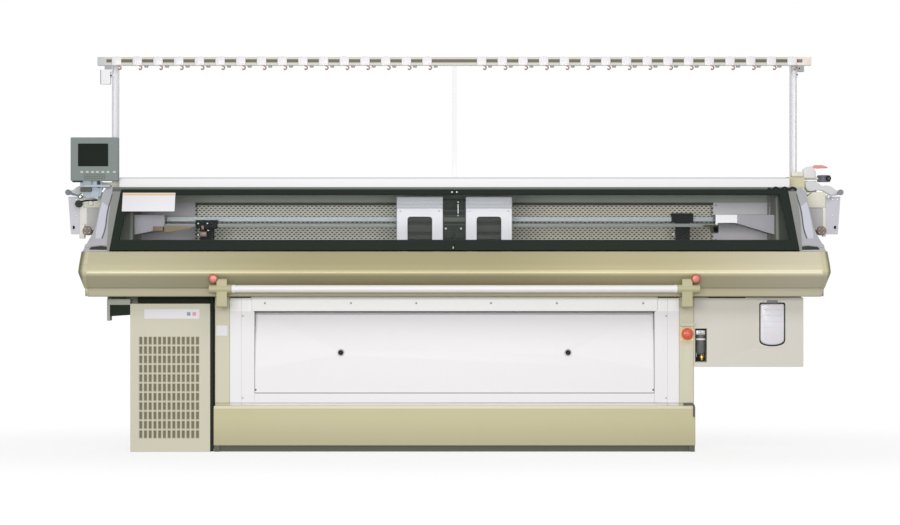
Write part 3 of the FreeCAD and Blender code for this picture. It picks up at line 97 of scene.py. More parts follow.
def folded(corners, radii, thickness, steps):
    # a folded sheet's section: a rounded path, and back along the same path moved sideways by the thickness
    path = rounded(corners, radii, steps)
    along = unit(np.gradient(path, axis=0))
    inner = path + np.stack([-along[:, 1], along[:, 0]], 1) * thickness
    return np.concatenate([path, inner[::-1]])


def rectangle(lowA, highA, lowB, highB, radius, steps=4):
    return rounded([(lowA, lowB), (highA, lowB), (highA, highB), (lowA, highB)], radius, steps)


def prism(outline, axis, low, high):
    # a closed outline carried along an axis; its two numbers are the other two axes in order
    section = np.insert(np.asarray(outline, float), axis, 0, axis=1)
    step = np.eye(3)[axis]
    return loft(np.stack([section + step * low, section + step * high]))


def slab(outline, axis, low, high, edge, steps=3):
    # a prism whose two rims are rounded: the outline shrinks by edge * (1 - cos) as it nears each end
    outline = np.asarray(outline, float)
    centre = (outline.min(0) + outline.max(0)) / 2
    size = (outline.max(0) - outline.min(0)) / 2
    angle = np.linspace(0, np.pi / 2, steps + 1)
    inset = np.concatenate([edge * (1 - np.sin(angle)), edge * (1 - np.sin(angle[::-1]))])
    place = np.concatenate([low + edge * (1 - np.cos(angle)), high - edge * (1 - np.cos(angle[::-1]))])
    shrink = 1 - inset[:, None, None] / size[None, None]
    rings = centre + (outline[None] - centre) * shrink
    return loft(np.insert(rings, axis, 0, axis=2) + np.eye(3)[axis] * place[:, None, None])


def block(low, high, radius, steps=3):
    # a sphere cut into octants, which are moved apart until they fill the box
    low, high = np.asarray(low, float), np.asarray(high, float)
    half = (high - low) / 2
    radius = min(radius, half.min() * 0.98)
    quarter = np.linspace(0, np.pi / 2, steps + 1)
    around = np.concatenate([quarter + side * np.pi / 2 for side in range(4)])
    sideX = np.repeat([1, -1, -1, 1], steps + 1)
    sideY = np.repeat([1, 1, -1, -1], steps + 1)
    upward = np.concatenate([quarter - np.pi / 2, quarter])[:, None]
    sideZ = np.repeat([-1, 1], steps + 1)[:, None]
    reach = half - radius
    rings = np.stack([np.cos(upward) * np.cos(around) * radius + sideX * reach[0],
                      np.cos(upward) * np.sin(around) * radius + sideY * reach[1],
                      np.broadcast_to(np.sin(upward) * radius + sideZ * reach[2], (len(upward), len(around)))], -1)
    return loft(rings + (low + high) / 2)


def box(low, high):
    corners = np.stack(np.meshgrid(*zip(low, high), indexing="ij"), -1).reshape(-1, 3).astype(float)
    return corners, [[0, 1, 3, 2], [4, 6, 7, 5], [0, 4, 5, 1], [2, 3, 7, 6], [0, 2, 6, 4], [1, 5, 7, 3]]


def frameRing(outer, inner, axis, low, high):
    # a flat frame: the outer outline and the opening, joined by a front, a back and both walls
    outer, inner = (np.insert(np.asarray(line, float), axis, 0, axis=1) for line in (outer, inner))
    step = np.eye(3)[axis]
    rings = np.stack([outer + step * low, outer + step * high, inner + step * high, inner + step * low,
                      outer + step * low])
    return loft(rings, False)


def lathe(profile, centre, axis, steps, caps=True):
    # (radius, height) points carried round an axis; without caps it is a ring, open through the middle
    profile = np.asarray(profile, float)
    around = np.linspace(0, 2 * np.pi, steps, endpoint=False)
    radius, height = profile[:, 0:1], profile[:, 1:2]
    parts = [radius * np.cos(around), radius * np.sin(around), np.broadcast_to(height, (len(profile), steps))]
    order = {2: (0, 1, 2), 1: (0, 2, 1), 0: (2, 0, 1)}[axis]
    return loft(np.stack([parts[i] for i in order], -1) + np.asarray(centre, float), caps)


def smoothPath(points, steps):
    # a curve through all the points, each stretch a cubic set by its neighbours
    p = np.asarray(points, float)
    p = np.concatenate([[2 * p[0] - p[1]], p, [2 * p[-1] - p[-2]]])
    t = np.linspace(0, 1, steps, endpoint=False)[None, :, None]
    a, b, c, d = p[:-3, None], p[1:-2, None], p[2:-1, None], p[3:, None]
    curve = 0.5 * (2 * b + (c - a) * t + (2 * a - 5 * b + 4 * c - d) * t ** 2 + (3 * b - a - 3 * c + d) * t ** 3)
    return np.concatenate([curve.reshape(-1, p.shape[1]), p[-2:-1]])


def tube(path, radius, steps):
    # a circle carried along a path, square to its direction; its first spoke is square to a slanted line too
    path = np.asarray(path, float)
    along = unit(np.gradient(path, axis=0))
    side = unit(np.cross(along, (0.13, 0.21, 0.97)))
    up = np.cross(along, side)
    around = np.linspace(0, 2 * np.pi, steps, endpoint=False)[None, :, None]
    return loft(path[:, None] + radius * (np.cos(around) * side[:, None] + np.sin(around) * up[:, None]))


def join(*parts):
    points, faces, count = [], [], 0
    for partPoints, partFaces in parts:
        points.append(partPoints)
        faces += [[v + count for v in face] for face in partFaces]
        count += len(partPoints)
    return np.concatenate(points), faces


def copies(part, offsets):
    # a copy for each offset, which is a place along the machine or a point
    points, faces = part
    offsets = np.asarray(offsets, float)
    if offsets.ndim == 1:
        offsets = offsets[:, None] * [1, 0, 0]
    many = (points[None] + offsets[:, None]).reshape(-1, 3)
    return many, [[v + i * len(points) for v in face] for i in range(len(offsets)) for face in faces]


def dense(outline, steps):
    # every edge of an outline cut into the same number of steps
    outline = np.asarray(outline, float)
    share = np.linspace(0, 1, steps, endpoint=False)[None, :, None]
    return (outline[:, None] * (1 - share) + np.roll(outline, -1, 0)[:, None] * share).reshape(-1, 2)


def holed(outline, centre, radius):
    # the round opening that goes with an outline: each point is brought in to the circle along its own spoke
    return np.asarray(centre, float) + unit(np.asarray(outline, float) - centre) * radius


def ribbon(path, width):
    # a flat strip on both sides of a curve
    path = np.asarray(path, float)
    along = unit(np.gradient(path, axis=0))
    across = np.stack([-along[:, 1], along[:, 0]], 1) * np.broadcast_to(width, (len(path),))[:, None] / 2
    return np.concatenate([path + across, (path - across)[::-1]])


def onPlane(part, y, z, lean):
    # (x, out of the plane, down the plane) laid on a plane that leans forward going down from the line at (y, z)
    x, out, down = part[0].T
    sine, cosine = math.sin(math.radians(lean)), math.cos(math.radians(lean))
    return np.stack([x, y - down * sine - out * cosine, z - down * cosine + out * sine], 1), part[1]


def mirrored(part):
    return part[0] * np.array([-1.0, 1, 1]), [face[::-1] for face in part[1]]


def both(*parts):
    part = join(*parts)
    return join(part, mirrored(part))


def screwHead(x, y, z, radius, side=-1, rise=2.5):
    # a low dome with a driver recess, standing on the face at (x, y, z)
    profile = [(0, rise * 0.35), (radius * 0.38, rise * 0.35), (radius * 0.42, rise), (radius * 0.8, rise * 0.8),
               (radius, rise * 0.2), (radius, 0), (0, 0)]
    return lathe(np.array(profile) * [1, side] + [0, y], (x, 0, z), 1, 14)


# materials: a socket that can be added, multiplied and so on, and one method for any other node

class Flow:
    def __init__(self, finish, socket):
        self.finish, self.socket = finish, socket

    def math(self, operation, other):
        return self.finish.node("ShaderNodeMath", {"operation": operation}, self, other)

    def __add__(self, other):
        return self.math("ADD", other)

    def __mul__(self, other):
        return self.math("MULTIPLY", other)

    def __sub__(self, other):
        return self.math("SUBTRACT", other)


class Finish:
    def __init__(self, name, **constants):
        self.material = bpy.data.materials.new(name)
        self.material.use_nodes = True
        self.tree = self.material.node_tree
        self.shader = self.tree.nodes["Principled BSDF"]
        for socket, number in constants.items():
            self.feed(socket.replace("_", " "), number)

    def plug(self, socket, value):
        if isinstance(value, Flow):
            self.tree.links.new(value.socket, socket)
        else:
            socket.default_value = value

    def feed(self, socket, value):
        self.plug(self.shader.inputs[socket], value)

    def node(self, kind, settings, *values, output=0, places=(0, 1, 2), **named):
        # values go into the sockets at these places, and the others into the sockets with their names
        made = self.tree.nodes.new(kind)
        for setting, choice in settings.items():
            setattr(made, setting, choice)
        for socket, value in [*zip(places, values), *named.items()]:
            self.plug(made.inputs[socket.replace("_", " ") if socket in named else socket], value)
        return Flow(self, made.outputs[output])

    def place(self, scale=(1, 1, 1)):
        # the point in metres in the machine's frame, stretched per axis
        return self.node("ShaderNodeMapping", {}, self.node("ShaderNodeTexCoord", {}, output=3), Scale=scale)

    def along(self, axis):
        return self.node("ShaderNodeSeparateXYZ", {}, self.place(), output=axis)

    def noise(self, scale, detail=2.0, roughness=0.5, stretch=(1, 1, 1)):
        return self.node("ShaderNodeTexNoise", {}, Vector=self.place(stretch), Scale=scale, Detail=detail,
                         Roughness=roughness)

    def blend(self, factor, first, second, mode="MIX"):
        return self.node("ShaderNodeMix", {"data_type": "RGBA", "blend_type": mode}, factor, first, second, output=2,
                         places=(0, 6, 7))

    def ramp(self, value, start, stop, first=0.0, last=1.0, kind="SMOOTHSTEP"):
        # from first to last while the value goes from start to stop
        return self.node("ShaderNodeMapRange", {"interpolation_type": kind}, value, From_Min=start, From_Max=stop,
                         To_Min=first, To_Max=last)

    def within(self, axis, low, high):
        # 1 between two places on an axis, in millimetres, and 0 outside them
        place = self.along(axis)
        return place.math("GREATER_THAN", low * mm) * place.math("LESS_THAN", high * mm)

    def bump(self, height, strength):
        self.feed("Normal", self.node("ShaderNodeBump", {}, Strength=strength, Distance=mm, Height=height))


def tone(red, green, blue):
    # a colour as a screen shows it, 0 to 255, as a linear colour
    screen = np.array([red, green, blue], float) / 255
    linear = np.where(screen <= 0.04045, screen / 12.92, ((screen + 0.055) / 1.055) ** 2.4)
    return (*linear.tolist(), 1.0)


def shade(colour, factor):
    return (*[min(c * factor, 1.0) for c in colour[:3]], 1.0)


def paint(name, colour, roughness, peel, mottle, metal=0.0, coat=0.0, grime=0.0, grain=900.0, streak=None,
          patches=(), shine=0.5, ends=(), under=None):
    # sprayed metal: slow cloudy changes of tone, a fine orange peel, and grime that gathers in soft patches; patches
    # are (spans, colour) pairs, each a span of places in millimetres on one or more axes; ends are (colour, side,
    # from, to): the tone that the paint takes on towards one of the machine's ends; under is (from, to, factor):
    # painted shade that darkens the paint below a height. Several paints below also use patches and ends for painted
    # highlight and painted shade.
    finish = Finish(name, Metallic=metal, Coat_Weight=coat, Specular_IOR_Level=shine)
    cloud = finish.noise(1.7, 3.0)
    fine = finish.noise(grain, 2.0)
    base = finish.blend(cloud, shade(colour, 1 - mottle), shade(colour, 1 + mottle))
    for other, side, start, stop in ends:
        base = finish.blend(finish.ramp(finish.along(0) * side, start, stop), base, other)
    if under:
        low = finish.ramp(finish.along(2), under[0], under[1], 1.0, 0.0)
        base = finish.blend(low, base, (under[2], under[2], under[2], 1.0), "MULTIPLY")
    if streak:
        lines = finish.noise(streak[0], 3.0, 0.6, streak[1])
        base = finish.blend(lines * streak[2], base, shade(colour, 0.72))
    if grime:
        mask = finish.ramp(finish.noise(6.0, 6.0, 0.65), 0.55, 0.85, 0.0, grime, "LINEAR")
        base = finish.blend(mask, base, shade(colour, 0.55))
    for spans, other in patches:
        mask = None
        for axis, low, high in spans:
            mask = finish.within(axis, low, high) if mask is None else mask * finish.within(axis, low, high)
        base = finish.blend(mask, base, other)
    finish.feed("Base Color", base)
    finish.feed("Roughness", fine * 0.08 + (roughness - 0.04) + (cloud - 0.5) * 0.1)
    finish.bump(fine, peel)
    return finish.material


colours = dict(
    cover=(180, 171, 130), coverReflectionLeft=(208, 202, 168), coverReflectionMiddle=(200, 190, 148), coverReflectionRight=(226, 218, 190),
    base=(197, 189, 149),
    cabinet=(209, 205, 184), leg=(210, 205, 180), oil=(218, 213, 203), white=(241, 238, 240), side=(172, 173, 176),
    bridge=(246, 248, 255), lilac=(204, 204, 212), dark=(35, 42, 36), header=(94, 97, 91), plinth=(96, 96, 87),
    inside=(196, 204, 193), silver=(182, 187, 190), perforated=(248, 247, 236), monitor=(130, 140, 137),
    red=(218, 84, 62), yellow=(240, 206, 140), duct=(166, 166, 156), black=(34, 36, 35), brown=(128, 98, 82),
    bracket=(184, 178, 140), shelf=(247, 245, 246), post=(240, 239, 241), clamp=(238, 236, 238),
)
hue = {name: tone(*value) for name, value in colours.items()}

# the cover brightens towards its ends with painted reflection, and darkens below the nose with painted shade
coverMetal = paint("champagneCoverMetal", hue["cover"], 0.4, 0.05, 0.025, 0.2, 0.1, streak=(3, (0.4, 60, 60), 0.18),
                   ends=[(hue["coverReflectionLeft"], -1, 0.7, 1.8), (hue["coverReflectionMiddle"], 1, 0.1, 0.9),
                         (hue["coverReflectionRight"], 1, 0.9, 1.9)], under=(0.884, 0.908, 0.52))
# the end caps darken below the nose with painted shade, and their outermost ends darken to olive with painted shade
# where they turn away from the light
capMetal = paint("champagneCapMetal", hue["coverReflectionLeft"], 0.4, 0.05, 0.025, 0.2, 0.1, under=(0.884, 0.908, 0.66),
                 ends=[(tone(112, 110, 78), -1, 1.852, 1.874), (tone(112, 110, 78), 1, 1.858, 1.878)])
# the base darkens towards the floor: painted shade
basePaint = paint("creamBasePaint", hue["base"], 0.45, 0.12, 0.025, grime=0.1, under=(0.03, 0.18, 0.84))
bracketPaint = paint("oliveBracketPaint", hue["bracket"], 0.45, 0.12, 0.03, grime=0.08)
cabinetPaint = paint("creamCabinetPaint", hue["cabinet"], 0.5, 0.16, 0.02, grime=0.08)
legPaint = paint("creamLegPaint", hue["leg"], 0.48, 0.14, 0.02, grime=0.08)
oilPaint = paint("paleCreamPaint", hue["oil"], 0.5, 0.16, 0.02, grime=0.06)
whitePaint = paint("whitePaint", hue["white"], 0.45, 0.1, 0.015, grime=0.04)
# the surround is brighter from 712 mm up: painted light on the top strip, which sits in shade under the cover
surroundPaint = paint("whiteSurroundPaint", hue["white"], 0.45, 0.1, 0.015, grime=0.04,
                      patches=[([(2, 712, 790)], tone(255, 254, 255))])
# the panel darkens just under the top strip: painted shadow of the strip
panelPaint = paint("whitePanelPaint", hue["white"], 0.45, 0.1, 0.015, grime=0.04,
                   patches=[([(2, 693, 712)], tone(202, 201, 204))])
shelfPaint = paint("whiteShelfPaint", hue["shelf"], 0.45, 0.1, 0.015)
sidePaint = paint("whiteSidePaint", hue["side"], 0.42, 0.1, 0.02)
# the bridge covers darken below 1.10 to 1.22 m with painted shade, and from 1272 mm up they are lighter with painted
# light where the header shades them
bridgePaint = paint("lilacBridgePaint", hue["bridge"], 0.38, 0.06, 0.02, coat=0.15,
                    under=(1.10, 1.22, 0.8), patches=[([(2, 1272, 1300)], tone(248, 250, 252))])
lilacPaint = paint("lilacPlatePaint", hue["lilac"], 0.42, 0.08, 0.03)
darkPaint = paint("darkWindowPaint", hue["dark"], 0.5, 0.05, 0.08, shine=0.08)
headerPaint = paint("greyHeaderPaint", hue["header"], 0.5, 0.05, 0.05, shine=0.2)
plinthPaint = paint("darkPlinthPaint", hue["plinth"], 0.6, 0.2, 0.08, grime=0.3, shine=0.3)
shadedEnds = [(tone(72, 76, 68), 1, 1.68, 1.70), (tone(92, 96, 88), -1, 1.68, 1.70)]
insidePaint = paint("greyInsidePaint", hue["inside"], 0.55, 0.1, 0.06, shine=0.25, ends=shadedEnds)
# the cast frames darken past 1.66 m from the middle: painted shade on the end frames' inner faces
castPaint = paint("castFramePaint", tone(150, 156, 145), 0.6, 0.5, 0.1, grain=260, shine=0.2,
                  ends=[(tone(72, 76, 68), 1, 1.66, 1.675), (tone(104, 108, 100), -1, 1.66, 1.675)])
camPaint = paint("darkCamBoxPaint", shade(hue["dark"], 1.3), 0.5, 0.08, 0.08, shine=0.2)
blackPlastic = paint("blackPlastic", hue["black"], 0.55, 0.2, 0.05, grain=600, shine=0.12)
unitPlastic = paint("darkUnitPlastic", tone(54, 60, 57), 0.55, 0.1, 0.08, grain=500, shine=0.12)
monitorPlastic = paint("monitorPlastic", hue["monitor"], 0.55, 0.25, 0.03, grain=700, shine=0.3)
keyPlastic = paint("paleKeys", tone(196, 200, 198), 0.5, 0.1, 0.03, grain=700)
ductPlastic = paint("ductPlastic", hue["duct"], 0.55, 0.15, 0.04)
# dark paint for hollows, gaps, slots, vents and recesses: painted shade
hollowShade = paint("darkHollow", tone(44, 50, 43), 0.8, 0.1, 0.1, shine=0.1)
redPlastic = paint("redPlastic", hue["red"], 0.3, 0.02, 0.03, coat=0.3)
pinkPlastic = paint("stopButtonPlastic", tone(222, 118, 98), 0.35, 0.02, 0.03, coat=0.2)
yellowPaint = paint("yellowPaint", hue["yellow"], 0.4, 0.05, 0.02, patches=[([(2, 637, 655)], tone(206, 202, 190))])
brownCeramic = paint("brownCeramic", hue["brown"], 0.3, 0.05, 0.08)
hookCeramic = paint("brownEyeCeramic", tone(158, 128, 116), 0.35, 0.03, 0.08, coat=0.1)
brightSteel = paint("brightSteel", hue["silver"], 0.3, 0.02, 0.04, 0.85, streak=(4, (0.3, 120, 120), 0.3))
groundSteel = paint("groundSteel", shade(hue["silver"], 0.75), 0.36, 0.05, 0.05, 0.85,
                    streak=(6, (200, 4, 4), 0.4))
needleSteel = paint("needleSteel", tone(176, 178, 178), 0.28, 0.03, 0.1, 0.9, grain=300)
perforatedMetal = paint("perforatedMetal", hue["perforated"], 0.45, 0.03, 0.04,
                        ends=[(tone(250, 245, 228), 1, 0.0, 0.5)])
holePaint = paint("shadeBehindHoles", tone(92, 95, 87), 0.7, 0.05, 0.06, shine=0.1)
railMetal = paint("anodisedRail", tone(206, 203, 195), 0.4, 0.04, 0.02, patches=[
    ([(0, -1850, -1808)], tone(196, 198, 204)), ([(0, 1770, 1850)], tone(238, 226, 216))])
grooveMetal = paint("grooveShade", tone(122, 118, 98), 0.55, 0.05, 0.05, shine=0.2)
greyPaint = paint("greyFittingPaint", tone(158, 160, 164), 0.5, 0.08, 0.04)
standBlue = paint("blueGreyStandPaint", tone(168, 180, 192), 0.42, 0.08, 0.08)
armGrey = paint("blueGreyArm", tone(108, 114, 126), 0.45, 0.1, 0.08)
armPale = paint("paleGreyArm", tone(190, 191, 196), 0.45, 0.1, 0.04,
                patches=[([(0, 1964, 2001)], tone(132, 134, 140))])
greyLip = paint("paleHeaderLip", tone(112, 116, 110), 0.5, 0.05, 0.05, shine=0.2)
jambPaint = paint("greyJambPaint", tone(134, 135, 131), 0.45, 0.06, 0.02)
brassMetal = paint("brass", tone(206, 170, 96), 0.3, 0.03, 0.05, 1.0)
rubber = paint("beltRubber", tone(38, 38, 38), 0.7, 0.3, 0.1, grain=300, shine=0.3)
filterMat = paint("filterMat", tone(136, 130, 106), 0.9, 0.8, 0.1, grain=420, shine=0.2)
paperLabel = paint("plainLabel", tone(238, 236, 240), 0.6, 0.02, 0.01)
orangeLabel = paint("orangeBand", tone(236, 196, 142), 0.6, 0.02, 0.01)
bluePaint = paint("blueGreySquare", tone(146, 158, 180), 0.6, 0.02, 0.02)
pinkPaint = paint("pinkSquare", tone(232, 168, 162), 0.6, 0.02, 0.02)
motorPaint = paint("brownMotorPaint", tone(134, 116, 100), 0.5, 0.12, 0.08, grain=400)
postShade = tone(160, 162, 165)
postPaint = paint("postPaint", hue["post"], 0.42, 0.08, 0.02, patches=[
    ([(0, -1832, -1718), (2, 1330, 1373)], tone(226, 222, 204)),
    ([(0, 1718, 1810), (2, 1330, 1401)], tone(206, 201, 164)), ([(0, 1772, 1810), (2, 1913, 1979)], postShade),
    ([(0, -1810, -1772), (2, 1957, 1979)], postShade), ([(2, 1330, 1342.9)], postShade)])
# the yarn rails' dark bands from 1100 to 1169 mm high are painted shade, as the rails show in the carriage's shadow
yarnRailMetal = paint("yarnRailSteel", tone(152, 160, 162), 0.4, 0.02, 0.04, 0.3, streak=(4, (0.3, 120, 120), 0.2),
                      patches=[([(2, 1163, 1169)], tone(56, 64, 64)), ([(2, 1100, 1163)], tone(112, 118, 114)),
                               ([(0, 1350.5, 1700), (2, 1050, 1250)], tone(150, 149, 154)),
                               ([(0, 1350.5, 1462), (2, 1156, 1250)], tone(228, 228, 232)),
                               ([(0, -1700, -1498.5), (2, 1050, 1250)], tone(132, 131, 138))])


def milky(name, colour):
    # thin-walled tank: cloudy plastic that is darker where the oil stands
    finish = Finish(name, Subsurface_Weight=0.25, Subsurface_Scale=0.02, Coat_Weight=0.25)
    cloud = finish.noise(14.0, 3.0)
    oil = finish.ramp(finish.along(2), 0.60, 0.62, 0.12, 0.0, "LINEAR")
    base = finish.blend(cloud, shade(colour, 0.96), shade(colour, 1.03))
    finish.feed("Base Color", finish.blend(oil, base, tone(206, 200, 178)))
    finish.feed("Roughness", cloud * 0.1 + 0.25)
    finish.bump(finish.noise(500.0), 0.06)
    return finish.material


def glassSheet(name, cloud, first, second, **constants):
    # a sheet whose tone drifts between two colours; cloud is (scale, detail)
    finish = Finish(name, **constants)
    finish.feed("Base Color", finish.blend(finish.noise(*cloud), first, second))
    return finish.material


tankPlastic = milky("milkyTankPlastic", tone(232, 229, 236))
windowTone, smokedShadeTone = tone(50, 58, 54), tone(14, 20, 18)
windowGlass = glassSheet("windowGlass", (5.0, 5.0), shade(windowTone, 0.9), windowTone, Alpha=0.04, Roughness=0.25,
                         Specular_IOR_Level=0.4)
smokedShadeSheet = glassSheet("smokedShadeSheet", (5.0, 5.0), shade(smokedShadeTone, 0.9), smokedShadeTone, Alpha=0.35, Roughness=0.5,
                         Specular_IOR_Level=0.4)
monitorScreen = glassSheet("monitorScreen", (9.0, 2.0), tone(30, 36, 32), tone(38, 44, 40), Roughness=0.6,
                           Specular_IOR_Level=0.04)
print("materials ready")


# putting a piece into the scene

sides = (("left", -1), ("right", 1))
foldAngle = 32  # degrees from which an edge of a CAD piece counts as a fold


def pick(settings, names):
    # the settings with these names, in this order
    return [settings[name] for name in names.split()]


def finishMesh(mesh, sharp):
    build = bmesh.new()
    build.from_mesh(mesh)
    bmesh.ops.remove_doubles(build, verts=build.verts, dist=1e-6)
    bmesh.ops.recalc_face_normals(build, faces=build.faces)
    build.to_mesh(mesh)
    build.free()
    mesh.polygons.foreach_set("use_smooth", np.ones(len(mesh.polygons), bool))
    mesh.set_sharp_from_angle(angle=math.radians(sharp))


def settle(piece, material, body, stands, bevel, steps=2):
    piece.data.materials.clear()
    piece.data.materials.append(material)
    scene.collection.objects.link(piece)
    if bevel:
        edge = piece.modifiers.new("softEdges", "BEVEL")
        edge.width, edge.segments, edge.limit_method = bevel * mm, steps, "ANGLE"
        edge.angle_limit, edge.harden_normals = math.radians(foldAngle), True
    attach(piece, body)
    if stands:
        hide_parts(*stands)
    return piece


def addPiece(name, part, material, body="machine", stands="", bevel=0.0, steps=2, sharp=35):
    # part is one shape or a list of them; stands names the node whose place the piece takes
    points, faces = join(*part) if isinstance(part, list) else part
    mesh = bpy.data.meshes.new(name)
    mesh.from_pydata((np.asarray(points) * mm).tolist(), [], faces)
    finishMesh(mesh, sharp)
    return settle(bpy.data.objects.new(name, mesh), material, body, (stands,) if stands else (), bevel, steps)


# the end caps' nose drops as the cover's does: each drop is (height, reach above and below it, fall)
capNose = dict(drops=((0.925, 0.02, 0.012), (0.958, 0.015, 0.01)), inward=0.006, frontOf=-0.4)
# the rear cover's lower corner behind the cable duct slants up, because nothing shows below the duct
rearCorner = dict(outer=-1.72, inner=-1.56, below=0.64, lift=0.09)


def reshape(node, mesh):
    points = np.empty(len(mesh.vertices) * 3)
    mesh.vertices.foreach_get("co", points)
    x, y, z = points.reshape(-1, 3).T
    if node == "beam_end_caps":
        low, high = [(np.maximum(0, 1 - np.abs(z - height) / reach), fall) for height, reach, fall in capNose["drops"]]
        z -= low[1] * low[0] + high[1] * high[0]
        y += capNose["inward"] * high[0] * (y < capNose["frontOf"])
    if node == "rear_cover":
        inner, outer, below, lift = pick(rearCorner, "inner outer below lift")
        z += lift * np.clip((inner - x) / (inner - outer), 0, 1) * (z < below)
    mesh.vertices.foreach_set("co", points)


def dress(node, material, bevel):
    # a merged copy of the node with softened edges stands in its place
    mesh = nodes[node].data.copy()
    mesh.name = node + "Skin"
    build = bmesh.new()
    build.from_mesh(mesh)
    bmesh.ops.remove_doubles(build, verts=build.verts, dist=2e-5)
    bmesh.ops.dissolve_limit(build, angle_limit=math.radians(0.6), verts=build.verts, edges=build.edges)
    for place in pick(rearCorner, "outer inner") if node == "rear_cover" else ():
        bmesh.ops.bisect_plane(build, geom=build.verts[:] + build.edges[:] + build.faces[:],
                               plane_co=(place, 0, 0), plane_no=(1, 0, 0))
    build.to_mesh(mesh)
    build.free()
    reshape(node, mesh)
    finishMesh(mesh, foldAngle)
    piece = bpy.data.objects.new(node + "Skin", mesh)
    settle(piece, material, nodes[node]["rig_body"], (node,), bevel)


# the CAD pieces that keep their shape: a softened copy of each takes the piece's place

softened = dict(
    base_frame=(basePaint, 4), plinth=(plinthPaint, 2), side_legs=(legPaint, 2), bed_beams=(castPaint, 4),
    end_frames=(castPaint, 5), cam_boxes=(camPaint, 3), belt_clamp=(camPaint, 1.5),
    left_bridge_cover=(bridgePaint, 5), right_bridge_cover=(bridgePaint, 5), carriage_centre_unit=(unitPlastic, 3),
    beam_end_caps=(capMetal, 3), rear_cover=(whitePaint, 1), chute_surround=(surroundPaint, 1.5),
    chute_panel=(panelPaint, 1.5), control_cabinet=(cabinetPaint, 0.8),
    oil_cabinet=(oilPaint, 2), estop_plate=(yellowPaint, 0.6), bar_brackets=(bracketPaint, 3),
    left_window_frame=(darkPaint, 2), right_window_frame=(darkPaint, 2), window_header=(headerPaint, 2),
    yarn_shelf=(shelfPaint, 0.8), rail_posts=(postPaint, 0.8), guide_rail=(railMetal, 1),
    monitor_arm=(standBlue, 1.5), side_covers=(sidePaint, 4), left_tension_arm=(armGrey, 1.5),
    right_tension_arm=(armPale, 1.5), left_yarn_carrier=(blackPlastic, 1.5),
    right_yarn_carrier=(blackPlastic, 1.5), drive_motor=(blackPlastic, 3), takedown_motor=(blackPlastic, 3),
    belt_brackets=(castPaint, 2), oil_tank_cap=(unitPlastic, 1.5), operating_bar=(whitePaint, 2),
    left_panel_knob=(blackPlastic, 1), right_panel_knob=(blackPlastic, 1), cabinet_fan=(blackPlastic, 0.6),
    takedown_roller=(brightSteel, 1), pressure_roller=(rubber, 1), drive_pulley=(brightSteel, 0.6),
    idler_pulley=(brightSteel, 0.6), needle_beds=(groundSteel, 0.6), carriage_rails=(brightSteel, 0.4),
    yarn_rails=(yarnRailMetal, 1), drive_belt=(rubber, 0.5), back_panel=(insidePaint, 0.6),
)
for node, (material, bevel) in softened.items():
    dress(node, material, bevel)
for node in ("left_window_glass", "right_window_glass"):
    nodes[node].data.materials.clear()
    nodes[node].data.materials.append(windowGlass)
print("CAD nodes dressed")


# front cover: one folded sheet with a rolled nose, and a rib over each seam to the end caps

cover = dict(
    corners=[(-250, 1014), (-372, 1014), (-449, 948), (-480, 913), (-448, 831), (-432, 831), (-432, 787),
             (-250, 787)],
    radii=[0, 14, 45, 26, 4, 3, 5, 0], thickness=3.0, half=1838.6, rib=(1834, 1842), ribRise=1.3, folds=10)


def frontCover():
    sheet = folded(cover["corners"], cover["radii"], cover["thickness"], cover["folds"])
    rib = folded(cover["corners"][:-1], cover["radii"][:-1], -cover["ribRise"], cover["folds"])
    addPiece("frontCoverSheet", prism(sheet, 0, -cover["half"], cover["half"]), coverMetal,
             stands="front_beam_cover", sharp=50)
    addPiece("frontCoverRibs", both(prism(rib, 0, *cover["rib"])), coverMetal, sharp=50)


# what shows behind the windows: perforated sheets on the back panel between plain end panels

inside = dict(half=1372.0, low=1070.0, high=1270.0, front=243.0, pitch=23.8, rise=10.6, hole=(6.4, 3.3), sheet=2.0,
              backer=246.0, back=250.2, trim=(240, 247), panelInner=1371.0, panelOuter=1683.0, panelFront=239)


def perforatedSheet(lowX, highX):
    # a rectangle of six points joined to a long six-sided hole, repeated in rows that are half a pitch apart
    p, r, h = inside["pitch"], inside["rise"], inside["hole"]
    rim = np.array([(p / 2, -r / 2), (p / 2, r / 2), (0, r / 2), (-p / 2, r / 2), (-p / 2, -r / 2), (0, -r / 2)])
    turns = np.radians([-30, 30, 90, 150, 210, 270])
    hole = np.array(h) * np.stack([np.cos(turns), np.sin(turns)], 1)
    rows, columns = int((inside["high"] - inside["low"]) / r), int((highX - lowX) / p)
    column, row = np.meshgrid(np.arange(columns), np.arange(rows))
    shift = (row % 2) * p / 2
    centres = np.stack([lowX + p / 2 + column * p + shift, inside["low"] + r / 2 + row * r], -1).reshape(-1, 2)
    cell = np.concatenate([rim, hole])
    points = (centres[:, None] + cell[None]).reshape(-1, 2)
    ring = np.arange(6)
    quads = np.stack([ring, np.roll(ring, -1), np.roll(ring, -1) + 6, ring + 6], 1)
    faces = (quads[None] + 12 * np.arange(len(centres))[:, None, None]).reshape(-1, 4).tolist()
    return np.insert(points, 1, inside["front"], axis=1), faces


